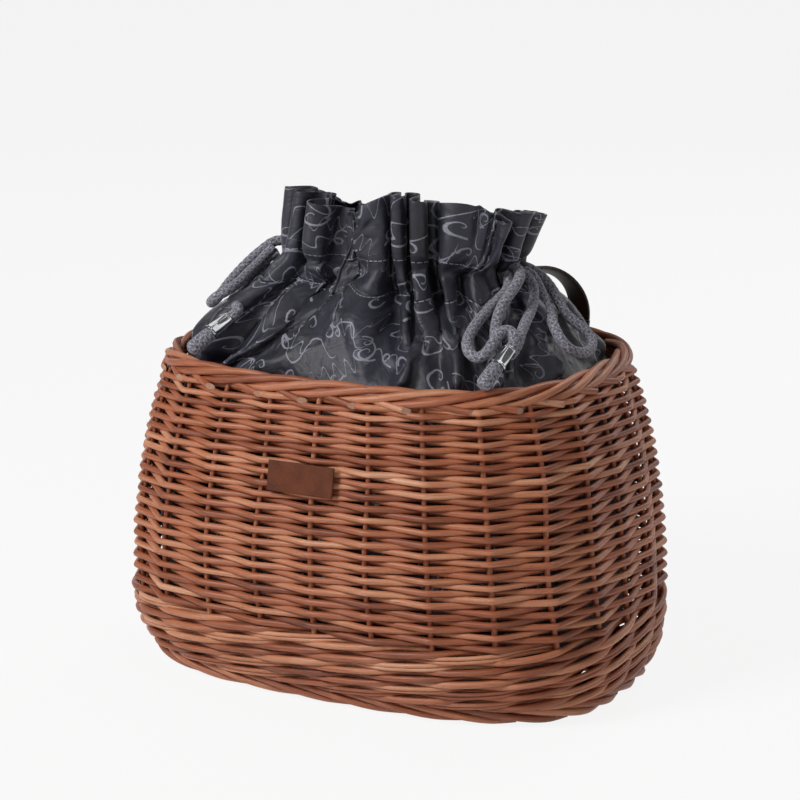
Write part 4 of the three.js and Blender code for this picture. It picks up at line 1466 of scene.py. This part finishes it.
def addStrap():
    outward, corner = handleSet["span"] / 2, handleSet["corner"]
    start = handleSet["rise"] - corner
    # the lower ends are rounded about the swing axis and reach down to the tabs
    depth = handleSet["thickness"] / 2
    heights = [share * depth for share in handleSet["foot"]] + [0.0, start / 2, start]
    half = [(-outward, height, 0.0, 0.0) for height in heights]
    for i in range(1, handleSet["steps"] + 1):
        lean = math.pi / 2 * i / handleSet["steps"]
        x = -outward + corner * (1 - math.cos(lean))
        half.append((x, start + corner * math.sin(lean), lean, lean * handleSet["twist"]))
    flat = math.pi / 2
    for i in (1, 2, 3, 4):
        part = i / 4
        x = -(outward - corner) * (1 - part / 2)
        turn = handleSet["twist"] + (1 - handleSet["twist"]) * part
        half.append((x, handleSet["rise"], flat, flat * turn))
    rings = half + [(-x, z, math.pi - lean, math.pi - twist) for x, z, lean, twist in reversed(half)]
    points, faces = [], []
    for x, z, lean, twist in rings:
        middle = Vector((x + handleSet["across"], handleSet["plane"], handleSet["axis"] + z))
        tangent = Vector((math.sin(lean), 0, math.cos(lean)))
        across = Vector((tangent.z, 0, -tangent.x)) * math.cos(twist) - Vector((0, math.sin(twist), 0))
        through = tangent.cross(across) * math.sqrt(1 - min(z / depth, 0) ** 2)
        for thick, spread in ((-1, (-1, -0.5, 0.5, 1)), (1, (1, 0.5, -0.5, -1))):
            for wide in spread:
                points.append(middle + across * wide * handleSet["width"] / 2 + through * thick * depth)
    for i in range(len(rings) - 1):
        for k in range(8):
            n = (k + 1) % 8
            faces.append((i * 8 + k, (i + 1) * 8 + k, (i + 1) * 8 + n, i * 8 + n))
    faces.append(tuple(range(8)))
    faces.append(tuple((len(rings) - 1) * 8 + k for k in reversed(range(8))))
    obj = meshObject("carrying_strap", points, faces)
    pick(obj)
    bpy.ops.object.mode_set(mode="EDIT")
    bpy.ops.mesh.select_all(action="SELECT")
    bpy.ops.mesh.normals_make_consistent(inside=False)
    bpy.ops.object.mode_set(mode="OBJECT")
    roundEdges(obj, handleSet["edge"], 3, 40)
    finish(obj, "handle", strapLeather, ["handle_strap"])
    creaseFrom(obj, 50)


addStrap()
for name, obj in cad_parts.items():
    if name.startswith(("handle_tab_", "rivet_", "washer_")):
        obj.data.materials.clear()
        obj.data.materials.append(strapLeather if name.startswith("handle_tab_") else rivetMetal)


labelSet = {"thickness": 0.0019, "edge": 0.0005, "columns": 24, "rows": 10}


def addLabel():
    bpy.ops.object.select_all(action="DESELECT")
    bpy.ops.mesh.primitive_grid_add(
        x_subdivisions=labelSet["columns"], y_subdivisions=labelSet["rows"], size=1.0,
    )
    obj = bpy.context.active_object
    obj.name = "leather_label"
    # the grid is stretched between the four front corners of the label in the frame
    low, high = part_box("label")
    middle = (Vector(low) + Vector(high)) / 2
    points = sorted({tuple(round(c, 5) for c in v.co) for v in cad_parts["label"].data.vertices})

    def corner(right, upper):
        own = [Vector(p) for p in points if (p[0] > middle.x) == right and (p[2] > middle.z) == upper]
        return min(own, key=lambda p: p.y)

    corners = [[corner(right, upper) for right in (False, True)] for upper in (False, True)]
    for vertex in obj.data.vertices:
        s, t = vertex.co.x + 0.5, vertex.co.y + 0.5
        bottom, upper = (pair[0].lerp(pair[1], s) for pair in corners)
        vertex.co = bottom.lerp(upper, t)
    change(obj, "SOLIDIFY", thickness=labelSet["thickness"], offset=-1)
    roundEdges(obj, labelSet["edge"], 2, 50)
    finish(obj, "basket", labelLeather, ["label"])
    creaseFrom(obj, 50)


addLabel()
print("handle and label fitted")


lightSet = {
    "floor": 14.0,
    "drop": 0.0004,
    "paper": 0.82,
    "white": 0.88,          # share of plain white in the paper that the camera sees
    "aim": (0, 0, 0.15),
    "world": 0.15,
    "panels": {"count": 5, "turn": 0.4, "above": 0.5, "strength": 1.1},
    "key": {"place": (-1.1, -2.3, 2.1), "size": 0.9, "energy": 66.0},
    "fill": {"place": (2.2, -1.2, 1.2), "size": 1.6, "energy": 3.5},
    "back": {"place": (0.4, 2.2, 1.8), "size": 1.4, "energy": 16.0},
}


def addStudio():
    bpy.ops.object.select_all(action="DESELECT")
    bpy.ops.mesh.primitive_plane_add(size=lightSet["floor"], location=(0, 0, 0))
    floor = bpy.context.active_object
    floor.name = "studio_floor"
    floor.location.z = -lightSet["drop"]
    material, nodes, inputs = newMaterial("studio_paper", roughness=0.95)
    inputs["Base Color"].default_value = (*[lightSet["paper"]] * 3, 1)
    tree = material.node_tree
    rays = nodes.add("ShaderNodeLightPath").outputs
    seen = nodes.calc("MAXIMUM", rays["Is Camera Ray"], rays["Is Glossy Ray"])
    share = nodes.times(seen, lightSet["white"])
    white = nodes.add("ShaderNodeEmission", {"Color": (1, 1, 1, 1), "Strength": 1.0})
    paper = tree.nodes["Principled BSDF"].outputs[0]
    mixed = nodes.add("ShaderNodeMixShader", {0: share, 1: paper, 2: white.outputs[0]})
    tree.links.new(mixed.outputs[0], tree.nodes["Material Output"].inputs[0])
    floor.data.materials.append(material)
    world = bpy.data.worlds.new("studio")
    bpy.context.scene.world = world
    world.use_nodes = True
    background = world.node_tree.nodes["Background"]
    background.inputs["Color"].default_value = (1, 1, 1, 1)
    nodes = Nodes(world.node_tree)
    rays = nodes.add("ShaderNodeLightPath").outputs
    strength = nodes.plus(nodes.times(rays["Is Camera Ray"], 1.0 - lightSet["world"]), lightSet["world"])
    # upright soft panels round the studio, which show only in reflections
    panels = lightSet["panels"]
    way = nodes.split(nodes.add("ShaderNodeTexCoord").outputs["Generated"])
    azimuth = nodes.calc("ARCTAN2", way[1], way[0])
    wave = nodes.calc("COSINE", nodes.calc("MULTIPLY_ADD", azimuth, panels["count"], panels["turn"]))
    lit = nodes.times(nodes.calc("GREATER_THAN", wave, panels["above"]), panels["strength"])
    nodes.fill(background.inputs["Strength"], nodes.plus(strength, nodes.times(lit, rays["Is Glossy Ray"])))
    for name in ("key", "fill", "back"):
        facts = lightSet[name]
        aim = Vector(lightSet["aim"]) - Vector(facts["place"])
        turn = aim.to_track_quat("-Z", "Y").to_euler()
        bpy.ops.object.light_add(type="AREA", location=facts["place"], rotation=turn)
        lamp = bpy.context.active_object
        lamp.data.size = facts["size"]
        lamp.data.energy = facts["energy"]
    bpy.context.scene.view_settings.view_transform = "Standard"


addStudio()
print("studio lit")
